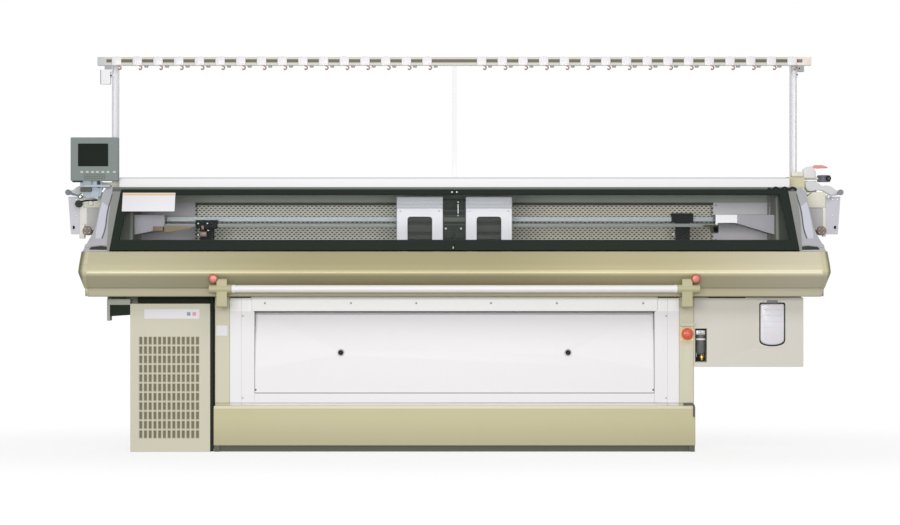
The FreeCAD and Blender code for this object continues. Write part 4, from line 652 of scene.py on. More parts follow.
def insideBack():
    half, low, high, back, face = pick(inside, "half low high back panelFront")
    for name, ends in (("perforatedSheetLeft", (-half, -2)), ("perforatedSheetRight", (2, half))):
        wall = addPiece(name, perforatedSheet(*ends), perforatedMetal).modifiers.new("sheetThickness", "SOLIDIFY")
        wall.thickness, wall.offset = inside["sheet"] * mm, -1
    backer = block((-half - 6, inside["backer"], low - 4), (half + 6, back, high + 4), 1)
    addPiece("shadeBehindHoles", backer, holePaint)
    y0, y1 = inside["trim"]
    trim = [block((-half, y0, z0), (half, y1, z1), 1.5) for z0, z1 in ((high - 6, high + 6), (low - 12, low + 3))]
    addPiece("perforatedSheetTrim", trim, headerPaint)
    panel = block((inside["panelInner"], face, 1064), (inside["panelOuter"], back, 1276), 3)
    addPiece("insideEndPanels", both(panel), insidePanelPaint)
    corners = [screwHead(x, face, z, 5) for x in (1385, 1668) for z in (1078, 1262)]
    addPiece("insidePanelScrews", both(*corners), brightSteel)


# the end panels are darker at the left end and lighter at the right end: painted shade and painted light
insidePanelPaint = paint("insidePanelPaint", tone(222, 219, 227), 0.5, 0.08, 0.03,
                         ends=[(tone(208, 206, 212), -1, 0.0, 0.4), (tone(252, 249, 255), 1, 0.0, 0.4)])
frontCover()
insideBack()
print("cover and inside made")


# windows: a card in a sleeve, corner screws, latch and the gasket of the glass

windowPlane = dict(y=-222.0, z=1323.0, lean=23.0)
sideLine = dict(y=-222.9, z=1323.0, lean=21.57)
card = dict(left=-1690, right=-1422, top=14, bottom=118, band=(4, 15), out=(8.8, 10.4))


def onWindow(part):
    return onPlane(part, **windowPlane)


def windowTrim():
    left, right, top, (near, far) = pick(card, "left right top out")
    sheet = block((left, near, top), (right, far, card["bottom"]), 0.7, 2)
    band = block((left + 3, far - 0.4, top + card["band"][0]), (right - 3, far + 0.3, top + card["band"][1]), 0.3, 1)
    addPiece("windowCard", onWindow(sheet), paperLabel, "left_window")
    addPiece("windowCardBand", onWindow(band), orangeLabel, "left_window")
    dot = lathe([(0, 8.6), (4.2, 8.6), (4.6, 9.2), (3.6, 10.8), (0, 11.2)], (0, 0, 0), 1, 12)
    for name, side in sides:
        label, body = name.capitalize(), f"{name}_window"
        addPiece(f"windowScrews{label}", onWindow(copies(dot, [(side * 12, 0, 10)])), paperLabel, body)
        near, far = sorted((side * 5.0, side * 1700.0))
        seal = join(*[block((near, 2.0, down), (far, 5.0, down + 4.5), 1) for down in (18.5, 273.0)])
        addPiece(f"windowSeal{label}", onWindow(seal), rubber, body)
    addPiece("windowLatch", onWindow(block((-9.5, 8.5, 313), (-2.5, 12.5, 325), 1.5)), bracketPaint, "left_window")
    addPiece("headerJoint", box((-1.2, -213.2, 1310.5), (1.2, -211.5, 1342.5)), hollowShade)
    # the lip's paler grey is painted reflection along the header's upper edge
    addPiece("headerLip", block((-1744, -214.2, 1329.5), (1744, -211.5, 1342.6), 1.2), greyLip)
    path = smoothPath([(1600, -216, 1338), (1624, -218, 1330), (1640, -216, 1342), (1664, -218, 1331),
                       (1686, -216, 1342), (1706, -218, 1332), (1728, -216, 1341), (1748, -218, 1328)], 5)
    addPiece("headerCable", tube(path, 5.5, 10), blackPlastic)


def raised(outline, low, high):
    # an (x, down) outline given a thickness out of the side line's plane, on both sides of the machine
    return both(onPlane(prism(outline, 1, low, high), **sideLine))


def sideFronts():
    # beside each window: a grey jamb, a thin gasket that curves out going down, a lilac panel, and a grey foot
    # over the shaded gap above the front cover
    jamb = [(1703.5, 2), (1746, 2), (1750, 60), (1757, 160), (1757, 330), (1744.5, 330)]
    gasket = smoothPath([(1745, 16), (1750, 46), (1757, 74), (1763, 112), (1767, 155), (1769, 193), (1776, 232),
                         (1787, 268)], 6)
    wall = smoothPath([(1794, 60), (1800, 90), (1809, 150), (1816, 216), (1818, 262)], 6)
    panel = np.concatenate([gasket[14:] + [4, 0], wall[::-1]])
    foot = rounded([(1762, 274), (1784, 262), (1820, 262), (1842, 276), (1868, 296), (1872, 316), (1836, 306),
                    (1790, 300), (1754, 300)], [6, 8, 14, 14, 8, 5, 14, 14, 5], 4)
    gap = rounded([(1750, 306), (1788, 302), (1836, 308), (1850, 322), (1750, 324)], [2, 8, 8, 3, 2], 3)
    addPiece("windowJambs", raised(jamb, -8, 1.6), jambPaint)
    addPiece("sideGaskets", raised(ribbon(gasket, 5), -1, 3.0), gasketGrey)
    addPiece("sideFrontPanels", raised(panel, -1, 1.4), sidePanelLilac)
    addPiece("sideFrontFeet", raised(foot, -1, 4.2), footGrey, bevel=1.2)
    # the gap is a dark sheet: painted shadow under the foot
    addPiece("sideFrontGaps", raised(gap, -1, 1.2), unitPlastic)


shadeBandGrey = paint("greenGreyShadeBands", tone(128, 138, 130), 0.45, 0.15, 0.05, grain=200)
gasketGrey = paint("greyGasket", tone(98, 96, 96), 0.6, 0.1, 0.05, shine=0.2)
sidePanelLilac = paint("sidePanelLilac", tone(202, 202, 214), 0.42, 0.08, 0.03)
footGrey = paint("greyFootPaint", tone(176, 174, 180), 0.45, 0.08, 0.04)
windowTrim()
sideFronts()
print("windows made")


# bridge covers: pressed bands round the top, a seam, arch edging and screws, and painted shade in each arch

bridge = dict(inner=58.0, outer=297.0, front=150.0, seam=1238.0, bands=(1259.0, 1272.0), leg=56.0, archTop=1194.0,
              archFoot=952, archRound=16, edging=4)


def bridgeDetails():
    inner, outer, front, leg, top, foot, curve, edge = pick(
        bridge, "inner outer front leg archTop archFoot archRound edging")
    left, right = inner + leg, outer - leg
    around, grown, proud = (rectangle(inner - d, outer + d, -front - d, front + d, 5 + d, 3) for d in (0, 0.7, 0.9))
    arch = rounded([(left - edge, foot), (left - edge, top + edge), (right + edge, top + edge), (right + edge, foot),
                    (right, foot), (right, top), (left, top), (left, foot)],
                   [0, curve + edge, curve + edge, 0, 0, curve, curve, 0], 5)
    # in each arch, grey-green bands, a dark block and a smoked sheet are painted shade over the rails behind
    shadeBands = [block((left - 30, face, low), (right + 30, -111, high), 2)
              for face, low, high in ((-122, 1172, 1192), (-122, 1116, 1152), (-124, 1078, 1098))]
    addPiece("archShadeBands", both(*shadeBands), shadeBandGrey, "carriage")
    addPiece("archShade", both(block((left - 34, -112, 1064), (right + 34, -107, 1200), 2)), headerPaint, "carriage")
    shadeSheet = box((left + 0.5, -143.6, foot), (right - 0.5, -141.2, top + 2))
    addPiece("archSmokedShadeSheets", both(shadeSheet), smokedShadeSheet, "carriage")
    seam = frameRing(grown, around, 2, bridge["seam"] - 1.2, bridge["seam"] + 1.2)
    addPiece("bridgeSeams", both(seam), seamShade, "carriage")
    addPiece("bridgeBands", both(frameRing(proud, around, 2, *bridge["bands"])), bandPaint, "carriage")
    edging = [prism(arch, 1, -front - 1.2, -front + 1), prism(arch, 1, front - 1, front + 1.2)]
    addPiece("bridgeArchEdging", both(*edging), bridgePaint, "carriage", sharp=50)
    screws = [screwHead(x, side * front, z, 5, side=side) for side in (-1, 1) for x in (inner + 20, outer - 20)
              for z in (1222, 985)]
    addPiece("bridgeScrews", both(*screws), brightSteel, "carriage")


def centreUnitDetails():
    rod = lathe([(0, 1198), (3.4, 1198), (3.4, 1272), (0, 1272)], (19, -139, 0), 2, 14)
    clips = [block((13, -143, z), (25, -134.6, z + 8), 2) for z in (1203, 1258)]
    dots = [screwHead(x, -135, 1133, 5.5, rise=3.5) for x in (-44, 34)]
    plates = [block((-50, -137.2, 1080), (-6, -134.6, 1124), 2), block((4, -137.2, 1080), (52, -134.6, 1110), 2),
              block((-46, -136.8, 1236), (4, -134.6, 1268), 2)]
    ribs = [block((-55, -138.5, low), (55, -134.6, high), 1.2)
            for low, high in ((1150, 1154), (1168, 1191), (1196, 1200), (1222, 1226))]
    addPiece("centreRod", rod, brightSteel, "carriage")
    addPiece("centreRodClips", clips, blackPlastic, "carriage")
    addPiece("centreDots", dots, paperLabel, "carriage")
    addPiece("centrePlates", plates, camPaint, "carriage")
    addPiece("centreRibs", ribs, headerPaint, "carriage")


seamShade = paint("bridgeSeamShade", tone(112, 114, 124), 0.5, 0.05, 0.03)
# the bands' darker tone is painted shade, as under an overhang
bandPaint = paint("bridgeBandPaint", tone(206, 213, 222), 0.4, 0.05, 0.02, coat=0.15)
bridgeDetails()
centreUnitDetails()
print("carriage made")


# beds: needles standing in their grooves along both slopes

needles = dict(half=1168.0, pitch=3.6, crest=(4.6, 1009.4), foot=(126.0, 888.0), rise=0.9, width=1.3)


def needleRow(side):
    # a thin bar along the slope for each needle, with its hook end just past the crest
    (y0, z0), (y1, z1) = needles["crest"], needles["foot"]
    along = np.array([y1 - y0, z1 - z0]) / math.hypot(y1 - y0, z1 - z0)
    out = np.array([-along[1], along[0]])
    line = np.array([(y0, z0), (y1, z1)])
    section = np.concatenate([line - out * 0.4, line[::-1] + out * needles["rise"]])
    bar = prism(section * [side, 1], 0, -needles["width"] / 2, needles["width"] / 2)
    places = np.arange(-needles["half"], needles["half"], needles["pitch"])
    return copies(bar, places + 0.9 * side)


addPiece("frontNeedles", needleRow(-1), needleSteel)
addPiece("rearNeedles", needleRow(1), needleSteel)
print("needles made")


# yarn carriers: a brown feeder block and screws on each, and the pieces at the ends of their rails

carriers = dict(left=dict(low=-1338.0, face=-70.0, side=-1, shift=0),
                right=dict(low=1131.0, face=70.0, side=1, shift=6))


def carrierDetails(name):
    low, face, side, shift = pick(carriers[name], "low face side shift")
    label, body = name.capitalize(), f"{name}_carrier"
    near, far = sorted((face + side * 0.4, face - side * 6))
    blocks = [block((low + 22, near, 1092 + shift), (low + 58, far, 1118 + shift), 2),
              block((low + 30, near, 1128 + shift), (low + 44, far, 1150 + shift), 2)]
    addPiece(f"feederBlock{label}", blocks, brownCeramic, body)
    screws = [screwHead(low + x, face, z + shift, 4.5, side=side, rise=2.2)
              for x, z in ((14, 1160), (62, 1160), (14, 1100), (66, 1124))]
    addPiece(f"carrierScrews{label}", screws, brightSteel, body)


def railEndPieces():
    taper = prism(rounded([(-1504, 1146), (-1504, 1119), (-1470, 1116), (-1352, 1138), (-1352, 1146)],
                          [3, 8, 10, 3, 3], 4), 1, -82, -74)
    hook = prism(rounded([(1288, 1152), (1288, 1142), (1318, 1142), (1324, 1112), (1362, 1108), (1366, 1152)],
                         [3, 3, 8, 5, 6, 3], 4), 1, -82, -74)
    # each stands out on a foot in front of the rails' end block, so that the yarn carriers pass behind it
    addPiece("railEndTaper", [taper, block((-1556, -82, 1121), (-1496, -58, 1144), 2)], taperPaint)
    addPiece("railEndHook", [hook, block((1336, -82, 1114), (1364, -58, 1146), 2)], hookPaint)
    addPiece("endFrameEdges", both(block((1656, 236, 1066), (1668, 250, 1316), 2)), edgePaint)


taperPaint = paint("brownTaperPaint", tone(150, 128, 100), 0.5, 0.1, 0.06)
hookPaint = paint("oliveHookPaint", tone(72, 70, 54), 0.55, 0.1, 0.08, shine=0.2)
edgePaint = paint("paleFrameEdge", tone(172, 174, 170), 0.5, 0.1, 0.04)
carrierDetails("left")
carrierDetails("right")
railEndPieces()
print("carriers made")


# guide rail: rounded clamps with a nub, a curled yarn eye at each, and the shaded groove

clamps = dict(first=141.0, pitch=107.0, count=16, half=25.0, front=-67.6, low=1976.4, high=2021.6, eyeRadius=3.9)
eyePath = [(9, -63, 1984), (12, -64, 1976), (20, -64.5, 1972), (23, -64, 1965), (19, -63.5, 1957.5),
           (12, -63, 1957), (10, -63.5, 1962)]


def guideRailDetails():
    half, front = clamps["half"], clamps["front"]
    body = join(block((-half, front, clamps["low"]), (half, -59.6, clamps["high"]), 4),
                block((-half + 1.5, front + 3, 2020.6), (half - 1.5, -40.5, 2022.8), 1),
                lathe([(0, 2022), (8, 2022), (8, 2024.2), (6.5, 2024.9), (0, 2024.9)], (0, -53, 0), 2, 16))
    seat = lathe([(0, -59), (5.5, -59), (5.5, -69.4), (4, -70.6), (0, -70.6)], (11, 0, 1983), 1, 12)
    eye = tube(smoothPath(eyePath, 4), clamps["eyeRadius"], 8)
    pinch = screwHead(-12, front, 1999, 4, rise=1.6)
    nut = block((34, -56, 1968), (54, -30, 1978.4), 3)
    places = clamps["first"] + clamps["pitch"] * np.arange(clamps["count"])
    row = np.concatenate([places, -places])
    addPiece("railClamps", copies(body, row), clampPaint, stands="yarn_guides")
    addPiece("yarnEyes", copies(eye, row), hookCeramic)
    addPiece("yarnEyeSeats", copies(seat, row), clampPaint)
    addPiece("clampScrews", copies(pinch, row), clampPaint)
    addPiece("clampNuts", copies(nut, row[:-1]), greyPaint)
    addPiece("grooveShade", block((-1799, -55.4, 1993.4), (1799, -53.8, 2008.6), 0.4), grooveMetal)
    cap = slab(rectangle(-1846, -1812, 1979.5, 2019.5, 4), 1, -61.2, -58, 0.8)
    addPiece("guideRailCapLeft", cap, capGrey)
    addPiece("guideRailCapRight", mirrored(cap), capCream)
    hole = lathe([(0, -61.6), (7, -61.6), (8, -60.4), (8, -57), (0, -57)], (1786, 0, 2000.5), 1, 20)
    addPiece("guideRailHole", hole, motorPaint)


clampPaint = paint("clampPlastic", hue["clamp"], 0.4, 0.05, 0.01, coat=0.1)
capGrey = paint("greyEndCap", tone(200, 202, 208), 0.5, 0.08, 0.03)
capCream = paint("creamEndCap", tone(240, 228, 218), 0.5, 0.08, 0.03)
guideRailDetails()
print("guide rail made")


# shelf and posts: a fine grey lip and a foot along the shelf's front edge, screws and the posts' cheeks

def shelfDetails():
    addPiece("shelfLip", block((-1717, -161.0, 1390.5), (1717, -157, 1394), 0.8), greyPaint)
    addPiece("shelfFoot", block((-1717, -161.2, 1343), (1717, -158, 1347), 0.8), lilacPaint)


def postDetails():
    screws = [screwHead(-1776, -57, 1925, 4.5), screwHead(1773, -57, 1930, 4), screwHead(1784, -57, 1962, 4)]
    addPiece("hangerScrews", screws, blackPlastic)
    addPiece("railBoxEdge", block((-1831.6, -57.8, 1882), (-1826.5, -22.4, 1955), 1), greyPaint)
    cheeks = [box((middle + low, -57.6, 1402), (middle + high, -56.4, 1977))
              for low, high in ((-17.4, -13.2), (13.2, 17.4)) for middle in (-1754, 1754)]
    addPiece("postCheeks", cheeks, lilacPaint)


shelfDetails()
postDetails()
print("shelf and posts made")


# monitor: a soft-cornered shell, a raised bezel round the sunk screen, keys, a keypad and vents at the back

monitor = dict(left=-1958.0, right=-1715.0, low=1375.0, high=1597.0, front=-235.0, back=-180.0,
               screen=(-1917.0, -1767.0, 1451.0, 1563.0), keyHeight=1420.0, keyHalf=(7.5, 5.0),
               keys=(-1900, -1872, -1845, -1820, -1792, -1766, -1734), pad=(-1888, -1781, 1384, 1409))


def monitorPieces():
    left, right, low, high, front, back = pick(monitor, "left right low high front back")
    x0, x1, z0, z1 = monitor["screen"]
    edge = rectangle(x0, x1, z0, z1, 2, 5)
    shell = slab(rectangle(left, right, low, high, 5, 5), 1, front + 2.2, back, 5)
    addPiece("monitorShell", shell, monitorPlastic, "monitor", stands="monitor")
    bezel = frameRing(rectangle(left + 1, right - 1, low + 1, high - 1, 4.5, 5), edge, 1, front + 0.2, front + 4)
    addPiece("monitorBezel", bezel, monitorPlastic, "monitor", bevel=0.8)
    rim = frameRing(rectangle(x0 - 2.5, x1 + 2.5, z0 - 2.5, z1 + 2.5, 4, 5), edge, 1, front + 0.1, front + 3)
    addPiece("monitorScreenRim", rim, unitPlastic, "monitor")
    screen = block((x0 - 1, front + 1.6, z0 - 1), (x1 + 1, front + 3.4, z1 + 1), 0.8)
    addPiece("monitorScreen", screen, monitorScreen, "monitor")
    w, h = monitor["keyHalf"]
    key = slab(rectangle(-w, w, -h, h, 3, 3), 1, -236.6, -233.5, 1)
    row = [(x, 0, monitor["keyHeight"]) for x in monitor["keys"]]
    addPiece("monitorKeys", copies(key, row), keyPlastic, "monitor")
    x0, x1, z0, z1 = monitor["pad"]
    addPiece("monitorKeypad", slab(rectangle(x0, x1, z0, z1, 3, 3), 1, -235.8, -233.5, 0.5), greyLip, "monitor")
    small = slab(rectangle(-5, 5, -4, 4, 1.5, 2), 1, -236.8, -234.5, 0.6)
    row = [(x, 0, z) for x in np.linspace(x0 + 9, x1 - 9, 8) for z in (z0 + 7, z1 - 7)]
    addPiece("monitorSmallKeys", copies(small, row), monitorPlastic, "monitor")
    slot = slab(rectangle(-40, 40, -1.8, 1.8, 1.7, 3), 1, back - 0.6, back + 0.8, 0.3)
    vents = [(x, 0, z) for x in (-1895, -1778) for z in np.arange(1440, 1560, 8.0)]
    addPiece("monitorVents", copies(slot, vents), hollowShade, "monitor")
    corners = [screwHead(x, back, z, 4.5, side=1, rise=1.8) for x in (-1946, -1727) for z in (1387, 1585)]
    addPiece("monitorScrews", corners, blackPlastic, "monitor")
    addPiece("monitorBracket", block((-1909, -227, 1320), (-1851, -211.2, 1342.8), 3), standDark)
    sheet = rounded([(-1908, 1373.4), (-1908, 1316), (-1880, 1290), (-1836, 1288), (-1806, 1300), (-1798, 1340),
                     (-1802, 1373.4)], [2, 6, 10, 10, 8, 6, 2], 4)
    addPiece("monitorStandSheet", prism(sheet, 1, -207, -203.4), standBlue, bevel=0.6)
    tabs = [block((-1950, -228, 1368), (-1898, -206, 1374.6), 2), block((-1821, -228, 1340), (-1809, -206, 1372), 2)]
    addPiece("monitorStandTabs", tabs, unitPlastic)


standDark = paint("darkStandPaint", tone(84, 86, 74), 0.55, 0.2, 0.14, grain=300, shine=0.3)
monitorPieces()
print("monitor made")


# units on both sides of the machine: yarn feed box and block, motor, column, holed plate, hood and arm pivot

plateHole = dict(x=1961.0, z=1139.0, radius=9.0)
motorAxis = (1888, 0, 1122)


def sideUnitPieces():
    boxes = both(block((1792, -125, 1239.4), (1911, -60.2, 1320.6), 5))
    addPiece("sideUnitBoxes", boxes, creamBoxPaint, stands="side_yarn_units")
    foot = prism(rounded([(1806, 1164), (1840, 1124), (1896.5, 1124), (1896.5, 1240), (1800, 1240)],
                         [4, 6, 6, 2, 2], 4), 1, -117.6, -70.4)
    addPiece("sideUnitBlocks", both(foot), greyBlockPaint, bevel=2)
    motor = lathe([(0, -137.6), (9, -137.6), (10, -136.4), (20, -136.4), (23.4, -133.5), (23.8, -120),
                   (23.8, -98), (22.8, -97), (22.8, -94), (23.8, -93), (23.8, -62), (20, -60.4), (0, -60.4)],
                  motorAxis, 1, 40)
    addPiece("sideMotors", both(motor), motorPaint)
    ends = [screwHead(motorAxis[0] + 15 * math.cos(t), -136.4, motorAxis[2] + 15 * math.sin(t), 2.6, rise=1.2)
            for t in np.radians([45, 135, 225, 315])]
    addPiece("sideMotorScrews", both(*ends), brightSteel)
    left = [block((-1929.7, -121.8, low), (x, -80.3, high), 3) for low, x, high in
            ((1082.3, -1903, 1154), (1152.3, -1890, 1301))]
    addPiece("sideColumns", [*left, block((1896, -121.8, 1092), (1912.5, -80.3, 1301), 3)], sideWhitePaint)
    x, z, radius = pick(plateHole, "x z radius")
    outline = dense(rounded([(1911, 1103.4), (1974, 1103.4), (1987.6, 1297.6), (1911, 1297.6)], [1, 5, 5, 1], 5), 3)
    plate = frameRing(outline, holed(outline, (x, z), radius), 1, -115.6, -104.4)
    addPiece("sidePlates", both(plate), plateLilac, bevel=1, sharp=50)
    rim = [(9.1, -117.6), (13.5, -117.6), (14.5, -116.4), (14.5, -115), (9.1, -115)]
    addPiece("sideHoleRims", both(lathe(rim, (x, 0, z), 1, 28, False)), plateLilac)
    dust = [(0, -92), (14, -92), (14, -104.5), (9.4, -104.5), (9.4, -97), (0, -97)]
    addPiece("sideHoleCaps", both(lathe(dust, (x, 0, z), 1, 28)), blackPlastic)
    screws = [screwHead(x, -115.6, z, 4.2) for x, z in ((1948, 1282), (1974, 1282), (1946, 1200), (1968, 1112))]
    screws += [screwHead(x, -125, z, 4.2) for x in (1815, 1898) for z in (1252, 1308)]
    addPiece("sideUnitScrews", both(*screws), brightSteel)
    hood = smoothPath([(1806, 1372), (1838, 1379), (1873, 1367), (1892, 1353), (1914, 1355), (1940, 1348),
                       (1962, 1332), (1981, 1326), (1985, 1312), (1963, 1303), (1938, 1306), (1914, 1317),
                       (1893, 1329), (1862, 1330), (1830, 1325), (1812, 1338), (1806, 1372)], 4)[:-1]
    addPiece("sideHoods", both(prism(hood[::-1], 1, -121.6, -80.4)), hoodPaint, bevel=3, steps=3)
    pivot = lathe([(0, -140), (4.6, -140), (4.6, -80), (0, -80)], (1922, 0, 1297), 1, 20)
    addPiece("armPivots", both(pivot), brightSteel)


creamBoxPaint = paint("creamBoxPaint", tone(230, 228, 210), 0.45, 0.08, 0.02)
greyBlockPaint = paint("greyBlockPaint", tone(186, 185, 184), 0.5, 0.12, 0.04)
sideWhitePaint = paint("whiteColumnPaint", tone(232, 230, 222), 0.45, 0.08, 0.02)
plateLilac = paint("lilacHoledPlate", tone(202, 201, 209), 0.42, 0.06, 0.03)
hoodPaint = paint("paleHoodPlastic", tone(214, 214, 214), 0.45, 0.1, 0.02)
sideUnitPieces()


def rightSidePieces():
    rod = lathe([(0, 1807), (6.8, 1807), (6.8, 1893), (0, 1893)], (0, -60, 1392), 0, 20)
    addPiece("feedWheelRod", rod, sideWhitePaint)
    profile = [(0, 1374.4), (30, 1374.4), (34.6, 1377), (34.6, 1383), (31, 1386), (30, 1392), (31, 1398), (34.6, 1401),
               (34.6, 1407), (31, 1409.6), (12, 1409.6), (10, 1407), (0, 1407)]
    addPiece("feedWheel", lathe(profile, (1909.5, -60, 0), 2, 48), wheelGrey)
    ring = lathe([(7, -98), (12.5, -98), (14, -96.4), (14, -90), (7, -90)], (1929, 0, 1392), 1, 28, False)
    addPiece("feedWheelEye", ring, blackPlastic)
    outline = rounded([(1800.4, 1392.4), (1866.6, 1392.4), (1866.6, 1426), (1852, 1456.6), (1818, 1452),
                       (1800.4, 1440)], [6, 8, 12, 14, 10, 8], 5)
    addPiece("smallFeeder", slab(outline, 1, -81.6, -38.4, 6, 4), feederPale)
    addPiece("feederStep", block((1740, -96, 1400.5), (1801, -60, 1426), 5), creamBoxPaint)
    lever = prism(rounded([(1850, 1452), (1870, 1444), (1925, 1446), (1932, 1451), (1900, 1461.6), (1858, 1461.6)],
                          [3, 10, 6, 2, 14, 6], 5), 1, -70, -50)
    addPiece("redLever", lever, leverRed, bevel=3, steps=3)
    sheet = prism(rounded([(1808.4, 1380.6), (1872.6, 1380.6), (1872.6, 1322), (1830, 1305.4), (1808.4, 1340)],
                          [1, 4, 6, 6, 3], 4), 1, -60, -56.2)
    addPiece("lilacSideSheet", sheet, plateLilac, bevel=0.8)


def leftSidePieces():
    disc = lathe([(0, -149.6), (6, -149.6), (7, -148), (16, -148), (18.3, -145.6), (18.3, -140), (15, -137),
                  (15, -134), (18.3, -131), (18.3, -124.6), (16.5, -122.4), (0, -122.4)], (-1930, 0, 1260), 1, 40)
    addPiece("yarnIdler", disc, unitPlastic)
    path = smoothPath([(-1926, -129, 1268), (-1900, -129, 1276), (-1868, -129, 1278), (-1835, -129, 1280)], 6)
    addPiece("yarnTube", tube(path, 4.2, 12), blackPlastic)
    cap = lathe([(0, -146), (10, -146), (12, -144), (12, -124), (0, -124)], (-1868, 0, 1263), 1, 28)
    addPiece("yarnTubeCap", cap, sideWhitePaint)


def formedWire():
    # a stiff black wire bent into a shallow hook under the right window post
    path = smoothPath([(1764, -222, 1322), (1768, -226, 1306), (1780, -228, 1294), (1796, -228, 1296),
                       (1812, -226, 1308), (1822, -222, 1316)], 6)
    addPiece("formedWire", tube(path, 1.8, 8), blackPlastic)


wheelGrey = paint("greyFeedWheel", tone(98, 102, 110), 0.5, 0.5, 0.2, grain=260)
feederPale = paint("paleFeederPaint", tone(226, 225, 224), 0.45, 0.1, 0.05)
leverRed = paint("paleRedLever", tone(226, 142, 130), 0.35, 0.05, 0.06, coat=0.1)
rightSidePieces()
leftSidePieces()
formedWire()
print("side units made")


# control cabinet: filter mat behind the louvres, their lips, blank plate with two squares, side slots and shades

cabinet = dict(front=-330.0, mat=(-1612.0, -1274.0, 55.0, 600.0), plate=(-1569.0, -1290.0, 674.0, 723.0),
               squares=(("Blue", -1344.0, bluePaint), ("Pink", -1316.0, pinkPaint)), squareHalf=9.0,
               louvres=(-1593, 23.9, 13, 72, 47.3, 11))


def cabinetPieces():
    front = cabinet["front"]
    x0, x1, z0, z1 = cabinet["mat"]
    addPiece("filterMat", block((x0, front + 4.5, z0), (x1, front + 13, z1), 2), filterMat)
    x0, x1, z0, z1 = cabinet["plate"]
    addPiece("cabinetPlate", slab(rectangle(x0, x1, z0, z1, 3, 3), 1, front - 1.2, front + 0.5, 0.4), paperLabel)
    middle, half = (z0 + z1) / 2, cabinet["squareHalf"]
    for name, x, material in cabinet["squares"]:
        square = rectangle(x - half, x + half, middle - half, middle + half, 2, 2)
        addPiece(f"plateSquare{name}", slab(square, 1, front - 1.7, front - 0.5, 0.2), material)
    lip = frameRing(rectangle(-2.6, 15.6, -3.2, 39.2, 3, 3), rectangle(0.2, 12.8, 0.3, 35.7, 1, 3), 1, front - 1.6,
                    front + 0.4)
    left, pitch, columns, low, rise, rows = cabinet["louvres"]
    row = [(left + pitch * column, 0, low + rise * up) for up in range(rows) for column in range(columns)]
    addPiece("louvreLips", copies(lip, row), louvrePaint)
    slots = [box((-1640.4, y, z), (-1639, y + 60, z + 3)) for y in (-220, -120, 20, 120) for z in range(90, 260, 14)]
    addPiece("cabinetSideSlots", slots, hollowShade)
    addPiece("cabinetTopShade", block((-1606, -300, 752), (-1216, -252, 786), 2), hollowShade)
    addPiece("cabinetGapShade", block((-1235.2, -322, 2), (-1219.8, -300, 786), 1), hollowShade)


def ductPieces():
    # an open tray on its side: top plate and left wall, with a dark block behind them that is painted shade for the
    # hollow
    walls = [block((-1757.5, -330.6, low), (x, -251, high), 1.5)
             for low, x, high in ((744, -1640.5, 773.6), (664, -1743, 745))]
    addPiece("ductWalls", walls, ductPlastic, stands="cable_duct")
    hollow = prism([(-1744, 686), (-1640.5, 693), (-1640.5, 745), (-1744, 745)], 1, -322, -252)
    addPiece("ductHollow", hollow, hollowShade)


louvrePaint = paint("louvreLipPaint", tone(172, 168, 148), 0.5, 0.1, 0.03)
cabinetPieces()
ductPieces()
print("cabinet made")


# fabric chute: seams and screws of the surround, top strip screws, clips, knob rings and the fold of the panel

chute = dict(front=-330.0, seam=1078.0, screwPlace=1071.0, strip=-345.0, stripHeight=753.0, knobPlace=575.0,
             stripScrews=(-957.7, -522.6, -192.8, 184.6, 517.0, 953.6), knobHeight=503.0, bend=420.0, rise=288.0,
             lean=45.0)


def panelFront(z):
    # the panel's front leans back in a straight line from its bend to its top edge
    return chute["front"] + chute["lean"] * np.maximum(0.0, (z - chute["bend"]) / chute["rise"])


def chutePieces():
    front, seam, height = pick(chute, "front seam knobHeight")
    seams = box((seam - 0.8, front - 0.35, 233), (seam + 0.8, front + 0.5, 779))
    addPiece("surroundSeams", both(seams), seamWhite)
    screws = [screwHead(chute["screwPlace"], front, z, 5.5) for z in (274, 688)]
    addPiece("surroundScrews", both(*screws), seamWhite)
    addPiece("stripTopEdge", block((-1028, -345.2, 776), (1028, -332, 786.4), 1.5), whitePaint)
    strip = [screwHead(x, chute["strip"], chute["stripHeight"], 5.5) for x in chute["stripScrews"]]
    addPiece("stripScrews", strip, stripScrewGrey)
    # a dark grey strip under the top strip: painted shadow that the strip casts
    addPiece("stripShadow", block((-1012, -343.4, 706), (1012, -292, 712.4), 1.5), stripShadowGrey)
    points, faces = frameRing(rectangle(-1009.4, 1009.4, 300.6, 707, 6, 4), rectangle(-1001, 1001, 309, 699, 5, 4),
                              1, -1.4, 0.2)
    points[:, 1] += panelFront(points[:, 2])
    addPiece("panelFold", (points, faces), whitePaint, sharp=25)
    face = panelFront(height)
    for name, side in sides:
        x = side * chute["knobPlace"]
        ring = lathe([(13.2, face - 3.2), (18, face - 3.2), (19, face - 2), (19, face + 3), (13.2, face + 3)],
                     (x, 0, height), 1, 32, False)
        addPiece(f"{name}KnobRing", ring, seamWhite)
        grip = block((x - 2.2, face - 19.4, height - 10), (x + 2.2, face - 14, height + 10), 1.2)
        addPiece(f"{name}KnobGrip", grip, unitPlastic, f"{name}_panel_knob")
    addPiece("panelClips", both(block((-1010, front - 3, 310), (-1001, front + 1, 319), 2)), headerPaint)
    addPiece("sillEdge", block((-1010, front - 1.2, 296.5), (1010, front + 1, 300.6), 1), jointGrey)
    addPiece("panelSideEdges", both(box((-1011.4, front - 0.8, 300), (-1008.6, front + 0.6, 700))), jointGrey)


seamWhite = paint("whiteSeamShade", tone(206, 203, 206), 0.6, 0.05, 0.03)
jointGrey = paint("greyJointShade", tone(132, 128, 118), 0.6, 0.05, 0.04)
stripScrewGrey = paint("greyStripScrews", tone(176, 174, 176), 0.5, 0.05, 0.03)
stripShadowGrey = paint("greyStripShadow", tone(116, 118, 114), 0.7, 0.1, 0.05, shine=0.2)
chutePieces()
print("chute made")


# emergency stop: a domed head on its neck, with a plain ring pressed in, and the plate's screws

estopCentre, stopCentre = (1176, 0, 598), np.array([1203.5, 0, 878])


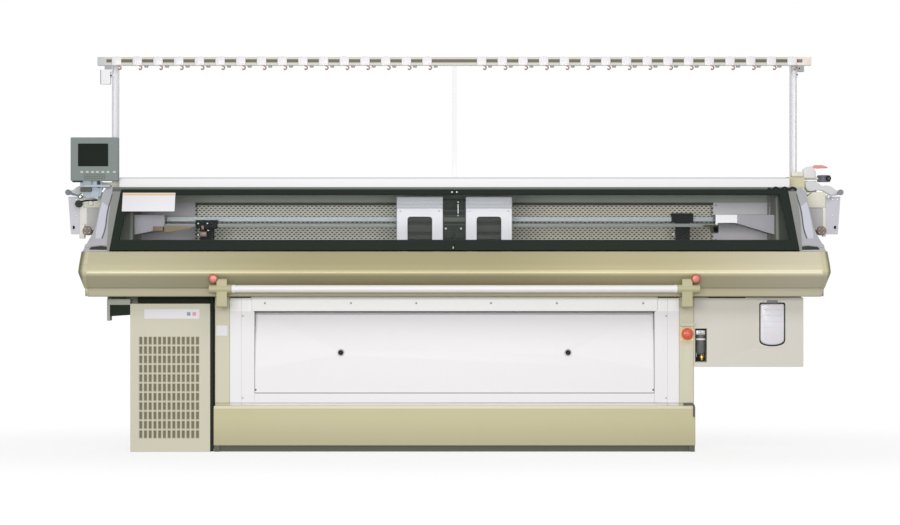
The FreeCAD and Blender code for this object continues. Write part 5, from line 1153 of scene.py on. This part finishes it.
def estopPieces():
    y = -366.2
    head = [(0, y), (9, y + 0.3), (9.6, y + 1.1), (10.8, y + 1.1), (11.4, y + 0.5), (19, y + 2.2), (25, y + 5),
            (28.4, y + 9), (28.9, y + 12.6), (27, y + 15.6), (17.4, y + 16.4), (16.8, y + 24.4), (11, y + 27.6),
            (10.8, -308), (0, -308)]
    addPiece("estopHead", lathe(head, estopCentre, 1, 48), redPlastic, "estop_button", stands="estop_button")
    collar = [(17.6, -338.4), (24, -338.4), (25, -337), (25, -332), (17.6, -332)]
    addPiece("estopCollar", lathe(collar, estopCentre, 1, 36, False), unitPlastic)
    corners = [screwHead(x, -333, z, 3.6, rise=1.6) for x in (1148, 1204) for z in (567, 631)]
    addPiece("estopPlateScrews", corners, brightSteel)


def stopButtons():
    cap = [(0, -511.6), (10, -511.4), (15.5, -510.4), (17.8, -508), (17.9, -504.9), (13.9, -504.7), (13.9, -485.4),
           (0, -485.4)]
    collar = [(18.4, -503.8), (22, -503.8), (23.4, -502), (23.4, -496), (18.4, -496)]
    for name, side in sides:
        centre, node = stopCentre * [side, 1, 1], f"{name}_stop_button"
        addPiece(f"{name}StopCap", lathe(cap, centre, 1, 40), pinkPlastic, node, stands=node)
        addPiece(f"{name}StopCollar", lathe(collar, centre, 1, 36, False), collarRed)


collarRed = paint("stopCollarPaint", tone(150, 84, 66), 0.5, 0.08, 0.04)
estopPieces()
stopButtons()
print("buttons made")


# oil cabinet: the milky tank with its broad round bottom in a dark recess, the pump, the gap under the cover and a
# plain plate on the leg

tank = dict(left=1547.0, right=1668.0, top=749.6, shoulder=574.0, bottom=541.0, front=-337.6, back=-277.6,
            middle=645, gap=(5.5, 6.5), halfHeight=105, rimMiddle=650, rimHalf=(70.5, 122.5))
pump = dict(x=1247.5, y=-302, back=-279)


def tankPieces():
    left, right, top, shoulder, bottom, front, back, middle = pick(
        tank, "left right top shoulder bottom front back middle")
    centre, half = (left + right) / 2, (right - left) / 2
    turn = np.linspace(0, np.pi, 21)
    arc = np.stack([centre - half * np.cos(turn), shoulder - (shoulder - bottom) * np.sin(turn) ** 0.7], 1)
    upper = rounded([(right, shoulder + 20), (right, top), (left, top), (left, shoulder + 20)], [0, 9, 9, 0], 5)
    outline = np.concatenate([arc, upper])
    addPiece("oilTankShell", slab(outline, 1, front, back, 9, 5), tankPlastic, stands="oil_tank")
    addPiece("tankCapFront", slab(rectangle(1579, 1636, 752.5, 768, 5, 4), 1, -332.8, -328.4, 1.5), capMid)
    neck = lathe([(0, 748), (13.9, 748), (13.9, 758.8), (0, 758.8)], (centre, -308, 0), 2, 28)
    addPiece("oilTankNeck", neck, tankPlastic)
    ribs = [block((1560, -338.4, z), (1655, -336.4, z + 2.2), 0.9) for z in (720, 690, 660, 630)]
    addPiece("oilTankRibs", ribs, tankPlastic)
    # a dark box lines the recess: painted shade round the tank
    addPiece("tankRecess", block((1541, -330.4, 533), (1674, -279.2, 771), 6), hollowShade)
    # the opening is the outline grown by a gap; the rim is where the spoke through each of its points meets a box
    grow = 1 + np.array(tank["gap"]) / (half, tank["halfHeight"])
    opening = (outline - [centre, middle]) * grow + [centre, middle]
    spoke = unit(opening - [centre, tank["rimMiddle"]])
    reach = (tank["rimHalf"] / np.maximum(np.abs(spoke), 1e-6)).min(1, keepdims=True)
    rim = [centre, tank["rimMiddle"]] + spoke * reach
    addPiece("tankSurround", frameRing(rim, opening, 1, -331.8, -329.6), oilPaint)
    addPiece("tankHooks", [block((x, -332.6, 757), (x + 12, -329, 768), 3) for x in (1556, 1640)], capGrey)


def pumpTurned(profile, steps=32, shift=(0, 0)):
    return lathe(profile, (pump["x"] + shift[0], pump["y"] + shift[1], 0), 2, steps)


def pumpPieces():
    back = pump["back"]
    # a dark sheet at the back of the cut-out: painted shade
    addPiece("pumpRecess", block((1219, back + 0.4, 456), (1276, back + 1.8, 622), 0.5), hollowShade)
    head = [block((1223, -306, 590), (1272, back, 616.6), 4), block((1236, -308, 598), (1252, -300, 610), 2),
            lathe([(0, 1262), (7, 1262), (7, 1266), (0, 1266)], (0, -292, 603), 0, 16)]
    addPiece("pumpHead", head, aluminium, stands="oil_pump")
    strap = pumpTurned([(0, 566), (24, 566), (24.6, 568), (24.6, 572), (24, 574), (0, 574)])
    addPiece("pumpStrap", strap, clampPaint)
    bowl = pumpTurned([(0, 490), (12, 491), (20, 498), (22.6, 510), (22.6, 591), (0, 591)])
    addPiece("pumpBowl", bowl, bowlGlass)
    drain = pumpTurned([(0, 462), (6, 462), (8, 466), (8, 474), (13, 476), (13, 486), (9, 490), (9, 494), (0, 494)],
                       24, (6.5, 2))
    addPiece("pumpDrain", drain, brassMetal)
    addPiece("pumpLegs", [block((x, back - 5, 478), (x + 5, back, 594), 1.5) for x in (1226.5, 1263.5)], aluminium)


def oilCabinetTrim():
    # a dark strip under the cover: painted shadow
    addPiece("oilCabinetGap", block((1284, -331.4, 778.6), (1472, -329, 784), 1), hollowShade)
    addPiece("legPlate", slab(rectangle(-1205, -1148, 588, 640, 3, 3), 1, -331, -329.5, 0.3), paperLabel)


def glassBowl(name, colour):
    finish = Finish(name, Transmission_Weight=0.35, IOR=1.45, Coat_Weight=0.4)
    cloud = finish.noise(30.0, 2.0)
    finish.feed("Base Color", finish.blend(cloud, shade(colour, 0.85), colour))
    finish.feed("Roughness", cloud * 0.08 + 0.08)
    return finish.material


aluminium = paint("castAluminium", tone(176, 178, 180), 0.42, 0.3, 0.06, 0.7, grain=350)
bowlGlass = glassBowl("smokyGlassBowl", tone(118, 118, 116))
capMid = paint("midGreyCap", tone(120, 120, 122), 0.5, 0.1, 0.05)
tankPieces()
pumpPieces()
oilCabinetTrim()
print("oil cabinet made")


# base, bar and back: the bar's collars, the rear cover's seams, vents and screws, the bent rod and a lighter strip on
# the base's top edge that is painted highlight

def barPieces():
    collar = [(0, 1096), (19.6, 1096), (20.2, 1098), (20.2, 1110), (19.6, 1112.6), (0, 1112.6)]
    addPiece("barCollars", both(lathe(collar, (0, -484, 827), 0, 36)), whitePaint, "operating_bar")


def backPieces():
    back = 470.0
    seams = [box((x - 1, back - 0.4, 604), (x + 1, back + 0.5, 920)) for x in (-1226, -613, 0, 613, 1226)]
    addPiece("rearCoverSeams", seams, seamWhite)
    # the first screw of the lower row stands higher, above the cover's slanted corner
    screws = [screwHead(x, back, z, 5.5, side=1)
              for x in (-1780, -1280, -1172, -667, -559, -54, 54, 559, 667, 1172, 1280, 1780)
              for z in (630 if x > -1700 else 730, 900)]
    addPiece("rearCoverScrews", screws, unitPlastic)
    slot = slab(rectangle(-45, 45, -2.2, 2.2, 2.1, 4), 1, back - 0.6, back + 0.5, 0.2)
    places = [(x, 0, z) for x in (1360, 1480, -1360, -1480) for z in np.arange(700, 830, 12.0)]
    addPiece("rearCoverVents", copies(slot, places), hollowShade)
    screws = [screwHead(x, 254, z, 5.5, side=1) for x in np.linspace(-1750, 1750, 11) for z in (1040, 1325)]
    addPiece("backPanelScrews", screws, unitPlastic)


def basePieces():
    path = smoothPath([(x, -336, z) for x, z in ((1158, 243), (1196, 243), (1208, 239), (1211, 228), (1211, 179))], 6)
    addPiece("bentRod", tube(path, 4.6, 14), rodGrey, stands="bent_rod")
    # a lighter cream strip along the base's rounded top edge: painted highlight
    addPiece("baseTopHighlight", block((-1217, -331.2, 217), (1217, -327, 232.8), 3), highlightCream)
    addPiece("plinthEnds", both(block((1188, -322, 0.4), (1217, -250, 33), 1.5)), plinthPaint)


highlightCream = paint("creamPaintedHighlight", tone(228, 222, 190), 0.42, 0.1, 0.02)
rodGrey = paint("darkGreyRod", tone(84, 84, 82), 0.5, 0.1, 0.06)
barPieces()
backPieces()
basePieces()
print("base, bar and back made")


# stage, light and camera

def addLamp(name, place, target, size, power):
    # a soft box aimed at a target: tilted by its angle from straight down, then turned towards it
    lamp = bpy.data.lights.new(name, "AREA")
    lamp.shape, lamp.size, lamp.size_y, lamp.energy = "RECTANGLE", *size, power
    obj = bpy.data.objects.new(name, lamp)
    scene.collection.objects.link(obj)
    x, y, z = np.subtract(target, place)
    obj.location = place
    obj.rotation_euler = math.atan2(math.hypot(x, y), -z), 0, math.atan2(y, x) - math.pi / 2


stage = dict(floorHalf=12.0, floorTones=((247, 247, 247), (250, 250, 250)), opacity=0.17, spread=(0.45, 1, 1),
             fadeFrom=0.7, fadeTo=2.0, worldTone=(255, 255, 255), worldLevel=0.27)


def buildStage():
    side = stage["floorHalf"]
    mesh = bpy.data.meshes.new("studioFloor")
    mesh.from_pydata([(-side, -side, 0), (side, -side, 0), (side, side, 0), (-side, side, 0)], [], [(0, 1, 2, 3)])
    floor = bpy.data.objects.new("studioFloor", mesh)
    scene.collection.objects.link(floor)
    finish = Finish("studioFloor", Roughness=0.9, Specular_IOR_Level=0.1)
    finish.feed("Base Color", finish.blend(finish.noise(0.4), *[tone(*colour) for colour in stage["floorTones"]]))
    # the floor's shadow fades out with the distance from the machine, which counts less along its length
    away = finish.node("ShaderNodeVectorMath", {"operation": "LENGTH"}, finish.place(stage["spread"]), output=1)
    finish.feed("Alpha", finish.ramp(away, stage["fadeFrom"], stage["fadeTo"], stage["opacity"], 0.0))
    mesh.materials.append(finish.material)
    world = bpy.data.worlds.new("studioWorld")
    world.use_nodes = True
    scene.world, tree = world, world.node_tree
    # the world is seen in full by the camera, in glossy surfaces and through glass, and lights less than that
    ground = tree.nodes["Background"]
    path = tree.nodes.new("ShaderNodeLightPath")
    seen = path.outputs["Is Camera Ray"]
    for other in ("Is Glossy Ray", "Is Transmission Ray"):
        either = tree.nodes.new("ShaderNodeMath")
        either.operation = "MAXIMUM"
        tree.links.new(seen, either.inputs[0])
        tree.links.new(path.outputs[other], either.inputs[1])
        seen = either.outputs[0]
    level = tree.nodes.new("ShaderNodeMapRange")
    tree.links.new(seen, level.inputs[0])
    level.inputs[3].default_value, level.inputs[4].default_value = stage["worldLevel"], 1.0
    tree.links.new(level.outputs[0], ground.inputs["Strength"])
    ground.inputs["Color"].default_value = tone(*stage["worldTone"])


buildStage()
addLamp("frontSoftBox", (-0.6, -8.5, 1.7), (0, 0, 1.0), (6.5, 2.2), 376)
addLamp("highSoftBox", (0.8, -5.2, 5.6), (0, 0, 0.9), (6.5, 2.6), 130)
addLamp("rearSoftBox", (0, 6.4, 4.6), (0, 0, 1.0), (6.5, 2.6), 190)

view = dict(place=(-0.0225, -12.47, 0.9585), distance=12.0, width=4.5, sensor=36.0)
camera = bpy.data.cameras.new("photoCamera")
camera.sensor_width = view["sensor"]
camera.lens = view["sensor"] * view["distance"] / view["width"]
cameraObject = bpy.data.objects.new("photoCamera", camera)
cameraObject.location = view["place"]
cameraObject.rotation_euler = (math.pi / 2, 0, 0)
scene.collection.objects.link(cameraObject)
scene.camera = cameraObject
scene.view_settings.view_transform = "Standard"

bpy.context.view_layer.update()
